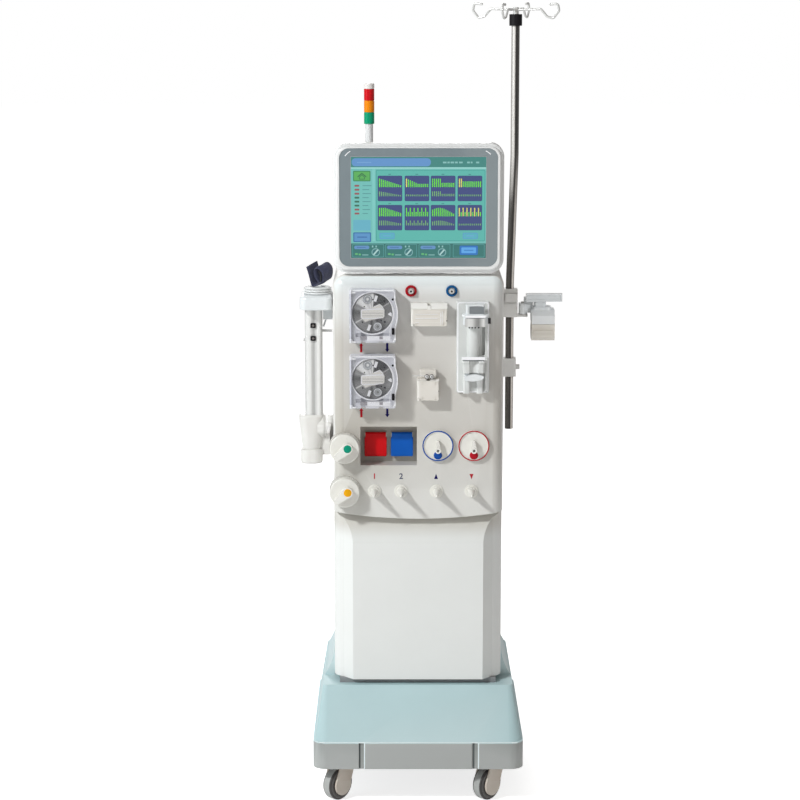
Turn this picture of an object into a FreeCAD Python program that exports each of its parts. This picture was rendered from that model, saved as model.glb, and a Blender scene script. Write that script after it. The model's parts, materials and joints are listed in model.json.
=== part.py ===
import FreeCAD, Part
import math
import os

# Haemodialysis machine on a wheeled base, every rigid and soft piece as its own solid.
# Millimetres, +Z up. The front of the cabinet faces -Y and +X is the viewer's right.
# The origin is on the floor, under the centre of the cabinet.

# Cabinet
cabinet_width = 388.0
cabinet_depth = 400.0
cabinet_bottom_z = 261.0
cabinet_top_z = 1206.0
front_corner_radius = 25.0
rear_corner_radius = 18.0
top_edge_radius = 26.0
shell_wall = 4.0
seam_depth = 12.0
seam_gap = 0.4
lip_side_z = 659.0
lip_middle_z = 643.0
lip_shelf_depth = 52.0
scoop_height = 76.0
scoop_radius = 80.0
lower_face_half_width = 150.0
lower_chamfer_width = 22.0
lower_chamfer_depth = 25.0
lower_side_seam_depth = 60.0
bottom_flange = 15.0

# Wheeled base
base_front_y = -330.0
base_rear_y = 190.0
base_half_width = 240.0
base_bottom_z = 87.0
skirt_top_z = 150.0
deck_top_z = 249.0
deck_half_width = 220.0
deck_front_y = -205.0
deck_rear_y = 182.0
base_wall = 5.0
base_corner_radius = 30.0
skirt_ledge = 3.0
groove_x = 129.0
groove_width = 13.0
groove_depth = 3.0
wing_top_z = 336.0
wing_front_y = -120.0
wing_rear_y = 160.0
wing_gap = 0.5

# Back of the cabinet
service_opening_half_width = 150.0
service_opening_bottom_z = 330.0
service_opening_top_z = 1150.0
cover_overlap = 12.0
cover_thickness = 3.0
cover_seam_z = 506.0
cover_seam_gap = 2.0
cover_screw_rows = 4
cover_screw_radius = 4.0
fan_grille_z = 985.0
fan_grille_rows = 9
fan_grille_half_width = 70.0
vent_grille_z = 560.0
vent_grille_rows = 7
vent_grille_half_width = 110.0
grille_slot_height = 6.0
grille_pitch = 14.0
fitting_z = 440.0
water_inlet_x = -95.0
drain_outlet_x = -45.0
hose_stem_radius = 8.0
hose_flange_radius = 11.0
hose_tail_radius = 7.5
hose_bore_radius = 5.0
hose_tail_reach = 34.0
mains_left_x = 20.0
mains_right_x = 110.0
mains_half_height = 35.0
mains_depth = 6.0

# Chassis
chassis_plate_z = 100.0
chassis_plate_thickness = 5.0
upright_size = 25.0
upright_x = 160.0
upright_front_y = -122.0
upright_rear_y = 160.0
upright_top_z = 1188.0
plinth_half_width = 182.0
plinth_half_depth = 184.0
shelf_thickness = 3.0
hydraulic_shelf_z = 290.0
electronic_shelf_z = 700.0

# Casters
wheel_radius = 37.5
wheel_width = 28.0
wheel_shoulder = 5.0
caster_trail = 20.0
caster_x = 172.0
caster_front_y = -265.0
caster_rear_y = 128.0
front_caster_yaw = -42.0
rear_caster_yaw = 25.0
fork_side_gap = 1.2
fork_leg_thickness = 4.5
fork_top_gap = 8.0
fork_crown_radius = 20.0
fork_cheek_radius = 25.0
axle_radius = 4.0
swivel_radius = 6.0
running_fit = 0.06
pedal_axis_y = 35.0
pedal_axis_z = 83.5
pedal_reach = 54.0
pedal_pin_radius = 2.5

# Roller pumps
pump_x = -103.3
pump_width = 104.0
pump_height = 120.0
pump_depth = 33.5
pump_upper_z = 1116.5
pump_pitch = 150.0
rotor_raise = 7.0
race_radius = 48.0
rotor_radius = 44.5
roller_radius = 10.0
roller_offset = 33.0
roller_angle = 110.0
rotor_shaft_radius = 6.0
roller_pin_radius = 3.0
motor_radius = 29.0
motor_length = 96.0
pump_bulge = 5.0
pump_bulge_half_height = 27.0
door_thickness = 4.0
door_gap = 0.6
hinge_radius = 3.5
hinge_pin_radius = 1.5
knuckle_height = 9.0

# Pressure ports
port_z = 1170.0
port_arterial_x = -16.6
port_venous_x = 75.3
port_ring_radius = 12.0
luer_radius = 5.0
luer_bore_radius = 2.2

# Air detector and line clamp
detector_x = 24.0
detector_width = 82.0
detector_bottom_z = 1093.0
detector_height = 51.5
detector_hood = 12.5
clamp_x = 22.0
clamp_width = 50.0
clamp_bottom_z = 923.0
clamp_height = 49.0
clamp_hood = 3.0
clamp_block_width = 37.0
clamp_block_height = 20.0
sensor_base_depth = 20.0
sensor_door_thickness = 8.0
tube_slot_width = 8.0

# Syringe pump
syringe_x = 123.5
syringe_width = 75.0
syringe_bottom_z = 938.0
syringe_top_z = 1148.0
syringe_plate_depth = 14.0
column_x = 125.0
column_radius = 15.5
column_top_z = 1112.0
column_bottom_z = 1016.0
slot_x = 147.0
slot_width = 7.0
carriage_bottom_z = 1099.0
carriage_collar_height = 24.0
carriage_head_height = 22.0
carriage_travel = 70.0
barrel_clamp_z = 975.0

# Concentrate recess
recess_left_x = -132.0
recess_right_x = -3.0
recess_bottom_z = 768.0
recess_top_z = 858.0
recess_depth = 50.0
recess_wall = 3.0
flap_width = 51.0
flap_height = 57.0
flap_top_z = 839.0
flap_red_x = -97.5
flap_blue_x = -37.0
flap_thickness = 10.0
flap_knuckle_inset = 2.0
flap_lug_half = 4.2

# Dialysate coupling dials and port plugs
dial_z = 815.0
dial_blue_x = 45.0
dial_red_x = 127.0
dial_radius = 35.0
dial_depth = 9.0
plug_z = 708.0
plug_xs = (-100.0, -39.0, 42.0, 122.0)
plug_head_radius = 10.5
plug_tip_radius = 3.2
plug_length = 56.0
plug_ring_radius = 15.5

# Selector knobs
knob_x = -167.5
knob_upper_z = 810.0
knob_lower_z = 708.5
knob_radius = 33.8
knob_boss_radius = 36.0
knob_boss_depth = 10.0
knob_disc_depth = 16.0
knob_grip_depth = 14.0
knob_shaft_radius = 5.0
knob_dot_radius = 9.5

# Monitor
monitor_width = 384.0
monitor_height = 292.0
monitor_gap = 4.0
monitor_overhang = 6.0
monitor_depth = 58.0
monitor_corner_radius = 31.0
monitor_step = 7.0
glass_width = 355.0
glass_height = 265.0
glass_rise = 148.5
glass_corner_radius = 22.0
glass_thickness = 3.0
monitor_axis_setback = 80.0
monitor_axis_rise = 22.0
monitor_pin_radius = 4.0
monitor_lug_half_width = 48.0

# Signal tower
tower_x = -113.0
tower_y = 20.0
tower_radius = 12.0
tower_tube_radius = 9.0
tower_lens_height = 27.0
tower_lens_z = 1532.0
tower_cap_height = 13.0

# Drip pole
pole_x = 217.0
pole_y = 30.0
pole_radius = 9.5
pole_wall = 1.5
pole_bottom_z = 811.0
pole_bend_low_z = 1154.0
pole_bend_high_z = 1459.0
pole_upper_x = 225.6
pole_top_z = 1778.0
pole_bend_radius = 400.0
collar_radius = 14.5
pole_end_in_collar = 21.0
collar_height = 26.0
hook_wire_radius = 2.8
hook_rise = 15.0
hook_angles = (-20, 70, 160, 250)
hook_reach = 104.0
hook_loop_radius = 15.0

# Pole clamps
clamp_low_z = 938.0
clamp_low_height = 43.0
clamp_high_z = 1080.0
clamp_high_height = 66.0
pole_clamp_reach = 235.0

# Dialyser holder
holder_axis_x = 248.0
holder_pin_radius = 5.0
holder_barrel_radius = 10.0
holder_bottom_z = 1086.0
holder_top_z = 1112.0
rail_z = 1118.0
rail_height = 19.0
rail_end_x = 339.0
jaw_left_x = 267.0
jaw_right_x = 321.0
jaw_bottom_z = 1028.0
jaw_top_z = 1099.0
jaw_split_z = 1066.5
jaw_front_y = -14.0
jaw_rear_y = 56.0
jaw_groove_radius = 17.0
jaw_groove_y = 12.0
jaw_pin_y = 47.0
jaw_pin_radius = 2.5

# Side arm with tray
arm_axis_x = -206.0
arm_axis_y = 40.0
arm_barrel_radius = 8.0
arm_pin_radius = 4.0
arm_link_bottom_z = 772.0
arm_link_top_z = 824.0
column_arm_x = -241.0
column_arm_y = -88.0
column_arm_size = 40.0
column_arm_bottom_z = 866.0
tray_left_x = -271.0
tray_right_x = -196.5
tray_front_y = -150.0
tray_rear_y = -20.0
tray_bottom_z = 1118.0
tray_top_z = 1150.0
elbow_top_half = 29.0
elbow_low_half = 25.5
elbow_bottom_z = 753.0
elbow_seam_z = 787.0

# Blood-pressure cuff and hose
hose_radius = 2.5
coil_x = -231.0
coil_y = -92.0
coil_outer_radius = 33.0
coil_inner_radius = 17.0
coil_height = 16.0
hose_clearance = 0.3
hose_socket_radius = 4.2
hose_socket_length = 13.0
cuff_clearance = 0.4
cuff_width = 52.0
cuff_height = 72.0
cuff_thickness = 34.0

front_y = -cabinet_depth / 2
rear_y = cabinet_depth / 2
half_width = cabinet_width / 2
seam_y = front_y + seam_depth
lower_seam_y = front_y + lower_side_seam_depth
pump_lower_z = pump_upper_z - pump_pitch
fork_top_z = chassis_plate_z - fork_top_gap
monitor_bottom_z = cabinet_top_z + monitor_gap
monitor_top_z = monitor_bottom_z + monitor_height
monitor_front_y = front_y - monitor_overhang
monitor_axis_y = front_y + monitor_axis_setback
monitor_axis_z = cabinet_top_z + monitor_axis_rise
glass_centre_z = monitor_bottom_z + glass_rise
collar_bottom_z = pole_top_z - pole_end_in_collar
hook_arm_z = pole_top_z + hook_rise

os.makedirs("parts", exist_ok=True)


def vec(x, y, z):
    return FreeCAD.Vector(x, y, z)


def box(x0, x1, y0, y1, z0, z1):
    return Part.makeBox(x1 - x0, y1 - y0, z1 - z0, vec(x0, y0, z0))


def rod(radius, start, end):
    axis = end - start
    return Part.makeCylinder(radius, axis.Length, start, axis)


def rod_z(radius, x, y, z0, z1):
    return rod(radius, vec(x, y, z0), vec(x, y, z1))


def rod_y(radius, x, z, y0, y1):
    return rod(radius, vec(x, y0, z), vec(x, y1, z))


def rod_x(radius, y, z, x0, x1):
    return rod(radius, vec(x0, y, z), vec(x1, y, z))


def fuse(shapes):
    whole = shapes[0]
    if len(shapes) > 1:
        whole = whole.multiFuse(shapes[1:])
    return whole.removeSplitter()


def cut(shape, tools):
    for tool in tools:
        shape = shape.cut(tool)
    return shape


def group(shapes):
    return Part.makeCompound(shapes)


def face_of(points):
    return Part.Face(Part.makePolygon(points + [points[0]]))


def prism_xz(corners, y0, y1):
    """Extrude an outline given as (x, z) corners from y0 to y1."""
    return face_of([vec(x, y0, z) for x, z in corners]).extrude(vec(0, y1 - y0, 0))


def prism_yz(corners, x0, x1):
    return face_of([vec(x0, y, z) for y, z in corners]).extrude(vec(x1 - x0, 0, 0))


def rounded_outline(x0, x1, z0, z1, radius, y):
    """A rounded rectangle as a wire in the plane of constant y."""
    k = radius * (1 - math.sqrt(0.5))
    edges = [
        Part.LineSegment(vec(x0 + radius, y, z0), vec(x1 - radius, y, z0)).toShape(),
        Part.Arc(vec(x1 - radius, y, z0), vec(x1 - k, y, z0 + k), vec(x1, y, z0 + radius)).toShape(),
        Part.LineSegment(vec(x1, y, z0 + radius), vec(x1, y, z1 - radius)).toShape(),
        Part.Arc(vec(x1, y, z1 - radius), vec(x1 - k, y, z1 - k), vec(x1 - radius, y, z1)).toShape(),
        Part.LineSegment(vec(x1 - radius, y, z1), vec(x0 + radius, y, z1)).toShape(),
        Part.Arc(vec(x0 + radius, y, z1), vec(x0 + k, y, z1 - k), vec(x0, y, z1 - radius)).toShape(),
        Part.LineSegment(vec(x0, y, z1 - radius), vec(x0, y, z0 + radius)).toShape(),
        Part.Arc(vec(x0, y, z0 + radius), vec(x0 + k, y, z0 + k), vec(x0 + radius, y, z0)).toShape(),
    ]
    return Part.Wire(edges)


def rounded_plate(x0, x1, z0, z1, radius, y0, y1):
    outline = rounded_outline(x0, x1, z0, z1, radius, y0)
    return Part.Face(outline).extrude(vec(0, y1 - y0, 0))


def soften(shape, radius, keep):
    """Round the edges for which keep(edge) is true."""
    edges = [edge for edge in shape.Edges if keep(edge)]
    return shape.makeFillet(radius, edges) if edges else shape


def edge_in_plane(axis, value, tolerance=0.01):
    def test(edge):
        low = getattr(edge.BoundBox, axis + "Min")
        high = getattr(edge.BoundBox, axis + "Max")
        return abs(low - value) < tolerance and abs(high - value) < tolerance
    return test


def save(name, shape):
    solids = shape.Solids
    whole = solids[0] if len(solids) == 1 else Part.makeCompound(solids)
    whole.exportStep("parts/" + name + ".step")


def plan_wire(points_and_arcs, z):
    """Join straight runs and three-point arcs, given in plan, into one closed wire."""
    edges = []
    for kind, points in points_and_arcs:
        places = [vec(x, y, z) for x, y in points]
        if kind == "line":
            edges.append(Part.LineSegment(*places).toShape())
        else:
            edges.append(Part.Arc(*places).toShape())
    return Part.Wire(edges)


def arc_middle(centre, radius, angle):
    return (centre[0] + radius * math.cos(math.radians(angle)),
            centre[1] + radius * math.sin(math.radians(angle)))


def cabinet_plan(inset, corner_front, corner_rear, z):
    """Plan outline of the cabinet's upper form, moved inwards by inset."""
    w = half_width - inset
    f = front_y + inset
    r = rear_y - inset
    a = corner_front - inset
    b = corner_rear - inset
    return plan_wire([
        ("line", [(-w + a, f), (w - a, f)]),
        ("arc", [(w - a, f), arc_middle((w - a, f + a), a, -45), (w, f + a)]),
        ("line", [(w, f + a), (w, r - b)]),
        ("arc", [(w, r - b), arc_middle((w - b, r - b), b, 45), (w - b, r)]),
        ("line", [(w - b, r), (-w + b, r)]),
        ("arc", [(-w + b, r), arc_middle((-w + b, r - b), b, 135), (-w, r - b)]),
        ("line", [(-w, r - b), (-w, f + a)]),
        ("arc", [(-w, f + a), arc_middle((-w + a, f + a), a, 225), (-w + a, f)]),
    ], z)


def cabinet_form(inset):
    """The closed upper form; its top front edge is rounded."""
    bottom = cabinet_bottom_z - 1 if inset else cabinet_bottom_z
    top = cabinet_top_z - inset
    outline = Part.Face(cabinet_plan(inset, front_corner_radius, rear_corner_radius, bottom))
    form = outline.extrude(vec(0, 0, top - bottom))
    on_front = edge_in_plane("Y", front_y + inset)
    on_top = edge_in_plane("Z", top)
    return soften(form, top_edge_radius - inset, lambda e: on_front(e) and on_top(e))


def lip_cutter(offset):
    """Everything above the curved lower lip of the control panel, moved up by offset."""
    rise = lip_side_z - lip_middle_z
    radius = (half_width ** 2 + rise ** 2) / (2 * rise)
    reach = half_width + 20
    side_z = lip_middle_z + offset + radius - math.sqrt(radius ** 2 - reach ** 2)
    high_z = cabinet_top_z + 50
    y = front_y - 60
    wire = Part.Wire([
        Part.Arc(vec(-reach, y, side_z), vec(0, y, lip_middle_z + offset), vec(reach, y, side_z)).toShape(),
        Part.LineSegment(vec(reach, y, side_z), vec(reach, y, high_z)).toShape(),
        Part.LineSegment(vec(reach, y, high_z), vec(-reach, y, high_z)).toShape(),
        Part.LineSegment(vec(-reach, y, high_z), vec(-reach, y, side_z)).toShape(),
    ])
    return Part.Face(wire).extrude(vec(0, cabinet_depth + 120, 0))


def lower_form(inset):
    """The lower cabinet with its chamfered pillars and the rolled top of its face."""
    w = half_width - inset
    f = front_y + inset
    face = lower_face_half_width - inset * 0.4
    mid = lower_face_half_width + lower_chamfer_width - inset * 0.6
    mid_y = front_y + lower_chamfer_depth + inset * 0.9
    side_y = front_y + lower_side_seam_depth - 5
    bend = (half_width - inset - 6, (mid_y + side_y) / 2 - 2)
    r = rear_y - inset
    bottom = cabinet_bottom_z + inset
    outline = plan_wire([
        ("line", [(-face, f), (face, f)]),
        ("line", [(face, f), (mid, mid_y)]),
        ("arc", [(mid, mid_y), bend, (w, side_y)]),
        ("line", [(w, side_y), (w, r)]),
        ("line", [(w, r), (-w, r)]),
        ("line", [(-w, r), (-w, side_y)]),
        ("arc", [(-w, side_y), (-bend[0], bend[1]), (-mid, mid_y)]),
        ("line", [(-mid, mid_y), (-face, f)]),
    ], bottom)
    form = Part.Face(outline).extrude(vec(0, 0, lip_side_z + 20 - bottom))
    start_z = lip_side_z - scoop_height
    centre_y = front_y + scoop_radius
    radius = scoop_radius - inset
    quarter = math.sqrt(0.5) * radius
    front = front_y - 10
    wire = Part.Wire([
        Part.Arc(vec(-250, centre_y - radius, start_z), vec(-250, centre_y - quarter, start_z + quarter),
                 vec(-250, centre_y, start_z + radius)).toShape(),
        Part.LineSegment(vec(-250, centre_y, start_z + radius), vec(-250, centre_y, 800)).toShape(),
        Part.LineSegment(vec(-250, centre_y, 800), vec(-250, front, 800)).toShape(),
        Part.LineSegment(vec(-250, front, 800), vec(-250, front, start_z)).toShape(),
        Part.LineSegment(vec(-250, front, start_z), vec(-250, centre_y - radius, start_z)).toShape(),
    ])
    scoop = Part.Face(wire).extrude(vec(500, 0, 0))
    return form.cut(scoop)


def front_panel():
    """Control panel: a shallow tray with its rounded rim, lip, bosses, recess and holes."""
    outer = cabinet_form(0).common(lip_cutter(0))
    inner = cabinet_form(shell_wall).common(lip_cutter(shell_wall))
    shell = outer.cut(inner)
    ahead = box(-half_width - 1, half_width + 1, front_y - 1, seam_y - seam_gap, 0, cabinet_top_z + 1)
    panel = shell.common(ahead)
    side = half_width - shell_wall - seam_gap
    shelf_area = box(-side, side, front_y + shell_wall - 1, front_y + lip_shelf_depth, 0, lip_side_z + 30)
    inside = cabinet_form(shell_wall + seam_gap).common(lip_cutter(0)).cut(lip_cutter(shell_wall))
    panel = panel.fuse(inside.common(shelf_area))
    boss_front = front_y - knob_boss_depth
    for z in (knob_upper_z, knob_lower_z):
        panel = panel.fuse(rod_y(knob_boss_radius, knob_x, z, boss_front, seam_y - seam_gap))
    panel = panel.fuse(box(recess_left_x - recess_wall, recess_right_x + recess_wall, front_y + 1,
                           front_y + recess_depth + recess_wall, recess_bottom_z - recess_wall,
                           recess_top_z + recess_wall))
    lug_y = flap_axis_y()
    lug_z = flap_axis_z()
    tools = [box(recess_left_x, recess_right_x, front_y - 1, front_y + recess_depth,
                 recess_bottom_z, recess_top_z)]
    for z in (pump_upper_z, pump_lower_z):
        tools.append(rod_y(motor_radius + 1, pump_x, z + rotor_raise, front_y - 1, seam_y + 5))
    for x in (port_arterial_x, port_venous_x):
        tools.append(rod_y(port_ring_radius - 3, x, port_z, front_y - 1, seam_y + 5))
    for x in (dial_blue_x, dial_red_x):
        tools.append(rod_y(dial_radius - 12, x, dial_z, front_y - 1, seam_y + 5))
    for x in plug_xs:
        tools.append(rod_y(plug_ring_radius - 3, x, plug_z, front_y - 1, seam_y + 5))
    for z in (knob_upper_z, knob_lower_z):
        tools.append(rod_y(knob_shaft_radius + running_fit, knob_x, z, boss_front - 1, seam_y + 5))
        tools.append(rod_y(knob_boss_radius - 12, knob_x, z, front_y + shell_wall, seam_y + 5))
    panel = cut(panel, tools)
    lugs = []
    for x in (flap_red_x, flap_blue_x):
        half = flap_width / 2
        for side in (-1, 1):
            inner_x = x + side * (half - flap_knuckle_inset + 0.3)
            outer_x = x + side * half
            lugs.append(box(min(inner_x, outer_x), max(inner_x, outer_x), lug_y - flap_lug_half,
                            front_y + recess_depth, lug_z - flap_lug_half, lug_z + flap_lug_half))
        lugs.append(rod_x(hinge_pin_radius, lug_y, lug_z, x - half + 0.5, x + half - 0.5))
    return fuse([panel] + lugs)


def flap_axis_y():
    return front_y + recess_depth - 10.0


def flap_axis_z():
    return flap_top_z - 6.0


def lower_panel():
    """Lower front cover: chamfered pillars, rolled top, return flange at the bottom."""
    shell = lower_form(0).cut(lower_form(shell_wall))
    ahead = box(-half_width - 1, half_width + 1, front_y - 1, lower_seam_y - seam_gap, 0, lip_side_z + 25)
    under_lip = cabinet_form(0).common(lip_cutter(-seam_gap))
    return shell.common(ahead).cut(under_lip)


def rear_housing():
    """Sides, top and back in one folded shell with flanges below and the service opening behind."""
    shell = cabinet_form(0).cut(cabinet_form(shell_wall))
    upper = box(-half_width - 1, half_width + 1, seam_y, rear_y + 1, lip_middle_z - 1, cabinet_top_z + 1)
    lower = box(-half_width - 1, half_width + 1, lower_seam_y, rear_y + 1, 0, lip_side_z + 5)
    below = lower.cut(box(-half_width - 2, half_width + 2, front_y, lower_seam_y, 0, lip_side_z + 5))
    upper = upper.common(lip_cutter(0))
    housing = shell.common(upper.fuse(below))
    inner_x = half_width - shell_wall
    for side in (-1, 1):
        x0, x1 = sorted((side * inner_x, side * (inner_x - bottom_flange)))
        housing = housing.fuse(box(x0, x1, lower_seam_y, rear_y - rear_corner_radius,
                                   cabinet_bottom_z, cabinet_bottom_z + shell_wall))
    opening = box(-service_opening_half_width, service_opening_half_width, rear_y - 10, rear_y + 10,
                  service_opening_bottom_z, service_opening_top_z)
    return housing.cut(opening).removeSplitter()


def back_plate(z0, z1, rows):
    """Flat plate over part of the back opening, with rows of screw heads down both sides."""
    half = service_opening_half_width + cover_overlap
    face = rear_y + cover_thickness
    inset = cover_overlap / 2
    parts = [rounded_plate(-half, half, z0, z1, inset, rear_y, face)]
    for row in range(rows):
        z = z0 + inset + row * (z1 - z0 - cover_overlap) / (rows - 1)
        for x in (-half + inset, half - inset):
            parts.append(rod_y(cover_screw_radius, x, z, face - 1, face + 2))
    return fuse(parts)


def grille(z0, rows, half_width_of_slot):
    slots = []
    for row in range(rows):
        z = z0 + row * grille_pitch
        slots.append(rounded_plate(-half_width_of_slot, half_width_of_slot, z, z + grille_slot_height,
                                   grille_slot_height / 2 - 0.1, rear_y - 1, rear_y + cover_thickness + 1))
    return slots


def service_cover():
    """Upper back plate, with the fan grille, the lower vents and its screws."""
    plate = back_plate(cover_seam_z + cover_seam_gap / 2, service_opening_top_z + cover_overlap,
                       cover_screw_rows)
    return cut(plate, grille(fan_grille_z, fan_grille_rows, fan_grille_half_width)
               + grille(vent_grille_z, vent_grille_rows, vent_grille_half_width))


def hose_tail(x):
    """Barbed hose tail whose flange seats on the back plate and whose stem passes through it."""
    face = rear_y + cover_thickness
    end = rear_y + hose_tail_reach
    parts = [rod_y(hose_stem_radius, x, fitting_z, rear_y - 14, face + 1),
             rod_y(hose_flange_radius, x, fitting_z, face, face + 7),
             rod_y(hose_tail_radius, x, fitting_z, face + 6, end)]
    for step in range(4):
        y = face + 11 + step * 5
        parts.append(Part.makeCone(hose_tail_radius + 1.1, hose_tail_radius, 3.5, vec(x, y, fitting_z),
                                   vec(0, 1, 0)))
    return fuse(parts).cut(rod_y(hose_bore_radius, x, fitting_z, rear_y - 10, end + 1))


def mains_inlet():
    """Mains socket and switch in one frame that seats on the back plate."""
    face = rear_y + cover_thickness
    low = fitting_z - mains_half_height
    high = fitting_z + mains_half_height
    frame = rounded_plate(mains_left_x, mains_right_x, low, high, 5, face, rear_y + mains_depth)
    body = rounded_plate(mains_left_x + 4, mains_right_x - 4, low + 4, high - 4, 5, rear_y - 3, face + 1)
    socket = rounded_plate(mains_left_x + 10, mains_left_x + 42, fitting_z - 18, fitting_z + 18, 3,
                           rear_y - 1, rear_y + mains_depth + 1)
    switch = rounded_plate(mains_right_x - 36, mains_right_x - 8, fitting_z - 16, fitting_z + 16, 2,
                           rear_y + 2, rear_y + mains_depth + 1)
    return cut(fuse([frame, body]), [socket, switch])


def rear_fittings():
    """Lower back plate with the water inlet, the drain outlet and the mains inlet seated in it."""
    plate = back_plate(service_opening_bottom_z - cover_overlap, cover_seam_z - cover_seam_gap / 2, 2)
    face = rear_y + cover_thickness
    xs = (water_inlet_x, drain_outlet_x)
    holes = [rod_y(hose_stem_radius + running_fit, x, fitting_z, rear_y - 1, face + 1) for x in xs]
    gap = 4 - running_fit
    holes.append(rounded_plate(mains_left_x + gap, mains_right_x - gap, fitting_z - mains_half_height + gap,
                               fitting_z + mains_half_height - gap, 5, rear_y - 1, face + 1))
    return group([cut(plate, holes)] + [hose_tail(x) for x in xs] + [mains_inlet()])


def base_hood(inset):
    """Skirt below, sloping deck above; the inner form is the same with every wall moved in."""
    half = base_half_width - inset
    radius = base_corner_radius - inset
    front = base_front_y + inset
    rear = base_rear_y - inset
    low = base_bottom_z - (1 if inset else 0)
    skirt = rounded_slab(-half, half, front, rear, radius, low, skirt_top_z)
    ledge = skirt_ledge
    low_wire = slab_wire(-half + ledge, half - ledge, front + ledge, rear - ledge, radius, skirt_top_z)
    top = deck_half_width - inset
    top_wire = slab_wire(-top, top, deck_front_y + inset, deck_rear_y - inset, 12.0, deck_top_z - inset)
    deck = Part.makeLoft([low_wire, top_wire], True, True)
    return skirt.fuse(deck)


def slab_wire(x0, x1, y0, y1, radius, z):
    k = radius * (1 - math.sqrt(0.5))
    return plan_wire([
        ("line", [(x0 + radius, y0), (x1 - radius, y0)]),
        ("arc", [(x1 - radius, y0), (x1 - k, y0 + k), (x1, y0 + radius)]),
        ("line", [(x1, y0 + radius), (x1, y1 - radius)]),
        ("arc", [(x1, y1 - radius), (x1 - k, y1 - k), (x1 - radius, y1)]),
        ("line", [(x1 - radius, y1), (x0 + radius, y1)]),
        ("arc", [(x0 + radius, y1), (x0 + k, y1 - k), (x0, y1 - radius)]),
        ("line", [(x0, y1 - radius), (x0, y0 + radius)]),
        ("arc", [(x0, y0 + radius), (x0 + k, y0 + k), (x0 + radius, y0)]),
    ], z)


def rounded_slab(x0, x1, y0, y1, radius, z0, z1):
    return Part.Face(slab_wire(x0, x1, y0, y1, radius, z0)).extrude(vec(0, 0, z1 - z0))


def base_cover():
    """Moulded hood over the wheels, with two grooves in front and a wing beside the cabinet."""
    hood = base_hood(0).cut(base_hood(base_wall))
    hood = hood.cut(box(-plinth_half_width, plinth_half_width, -plinth_half_depth, plinth_half_depth - 6,
                        deck_top_z - base_wall - 1, deck_top_z + 1))
    for x in (-groove_x, groove_x):
        half = groove_width / 2
        hood = hood.cut(box(x - half, x + half, base_front_y - 1, base_front_y + groove_depth,
                            base_bottom_z - 1, skirt_top_z + 1))
    inner = half_width + wing_gap
    outer = deck_half_width - 1.0
    hollow = 0.35 * (outer - inner)
    middle = ((inner + outer) / 2 - hollow * 0.6, (deck_top_z + wing_top_z) / 2 - hollow)
    wings = []
    for side in (-1, 1):
        wire = Part.Wire([
            Part.LineSegment(vec(side * inner, wing_front_y, deck_top_z),
                             vec(side * outer, wing_front_y, deck_top_z)).toShape(),
            Part.Arc(vec(side * outer, wing_front_y, deck_top_z),
                     vec(side * middle[0], wing_front_y, middle[1]),
                     vec(side * (inner + 2), wing_front_y, wing_top_z)).toShape(),
            Part.LineSegment(vec(side * (inner + 2), wing_front_y, wing_top_z),
                             vec(side * inner, wing_front_y, wing_top_z)).toShape(),
            Part.LineSegment(vec(side * inner, wing_front_y, wing_top_z),
                             vec(side * inner, wing_front_y, deck_top_z)).toShape(),
        ])
        wings.append(Part.Face(wire).extrude(vec(0, wing_rear_y - wing_front_y, 0)))
    return fuse([hood] + wings)


def chassis_plate():
    """Base plate with a swivel seat for each caster."""
    inner = base_wall + skirt_ledge + 1
    top = chassis_plate_z + chassis_plate_thickness
    plate = rounded_slab(-base_half_width + inner, base_half_width - inner, base_front_y + inner,
                         base_rear_y - inner, base_corner_radius - inner, chassis_plate_z, top)
    seats = [rod_z(22, x, y, chassis_plate_z - 4, chassis_plate_z + 1) for x, y in caster_places()]
    fit = swivel_radius + running_fit
    bores = [rod_z(fit, x, y, chassis_plate_z - 10, top + 1) for x, y in caster_places()]
    return cut(fuse([plate] + seats), bores)


def chassis_frame():
    """Frame on its base plate: four uprights, plinth ring, two shelves and the top rails between."""
    low = chassis_plate_z + chassis_plate_thickness
    half = upright_size / 2
    xs = (-upright_x, upright_x)
    ys = (upright_front_y, upright_rear_y)
    uprights = [box(x - half, x + half, y - half, y + half, low, upright_top_z) for x in xs for y in ys]
    plinth = box(-plinth_half_width + 0.5, plinth_half_width - 0.5, -plinth_half_depth + 0.5,
                 plinth_half_depth - 6.5, deck_top_z - 4, cabinet_bottom_z)
    hollow = box(-plinth_half_width + 24, plinth_half_width - 24, -plinth_half_depth + 24,
                 plinth_half_depth - 30, deck_top_z - 5, cabinet_bottom_z + 1)
    members = [chassis_plate(), cut(plinth, [hollow] + uprights)] + uprights
    inner_x = upright_x - half
    for z in (hydraulic_shelf_z, electronic_shelf_z):
        members.append(box(-inner_x, inner_x, upright_front_y - half, upright_rear_y + half,
                           z, z + shelf_thickness))
    rail_z = upright_top_z - upright_size
    for x in xs:
        members.append(box(x - half, x + half, upright_front_y + half, upright_rear_y - half,
                           rail_z, upright_top_z))
    for y in ys:
        members.append(box(-inner_x, inner_x, y - half, y + half, rail_z, upright_top_z))
    return group(members)


def caster_places():
    return [(-caster_x, caster_front_y), (caster_x, caster_front_y),
            (-caster_x, caster_rear_y), (caster_x, caster_rear_y)]


def caster_yaws():
    return [front_caster_yaw, front_caster_yaw, rear_caster_yaw, rear_caster_yaw]


def placed(shape, x, y, yaw):
    shape = shape.copy()
    shape.rotate(vec(0, 0, 0), vec(0, 0, 1), yaw)
    shape.translate(vec(x, y, 0))
    return shape


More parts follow.
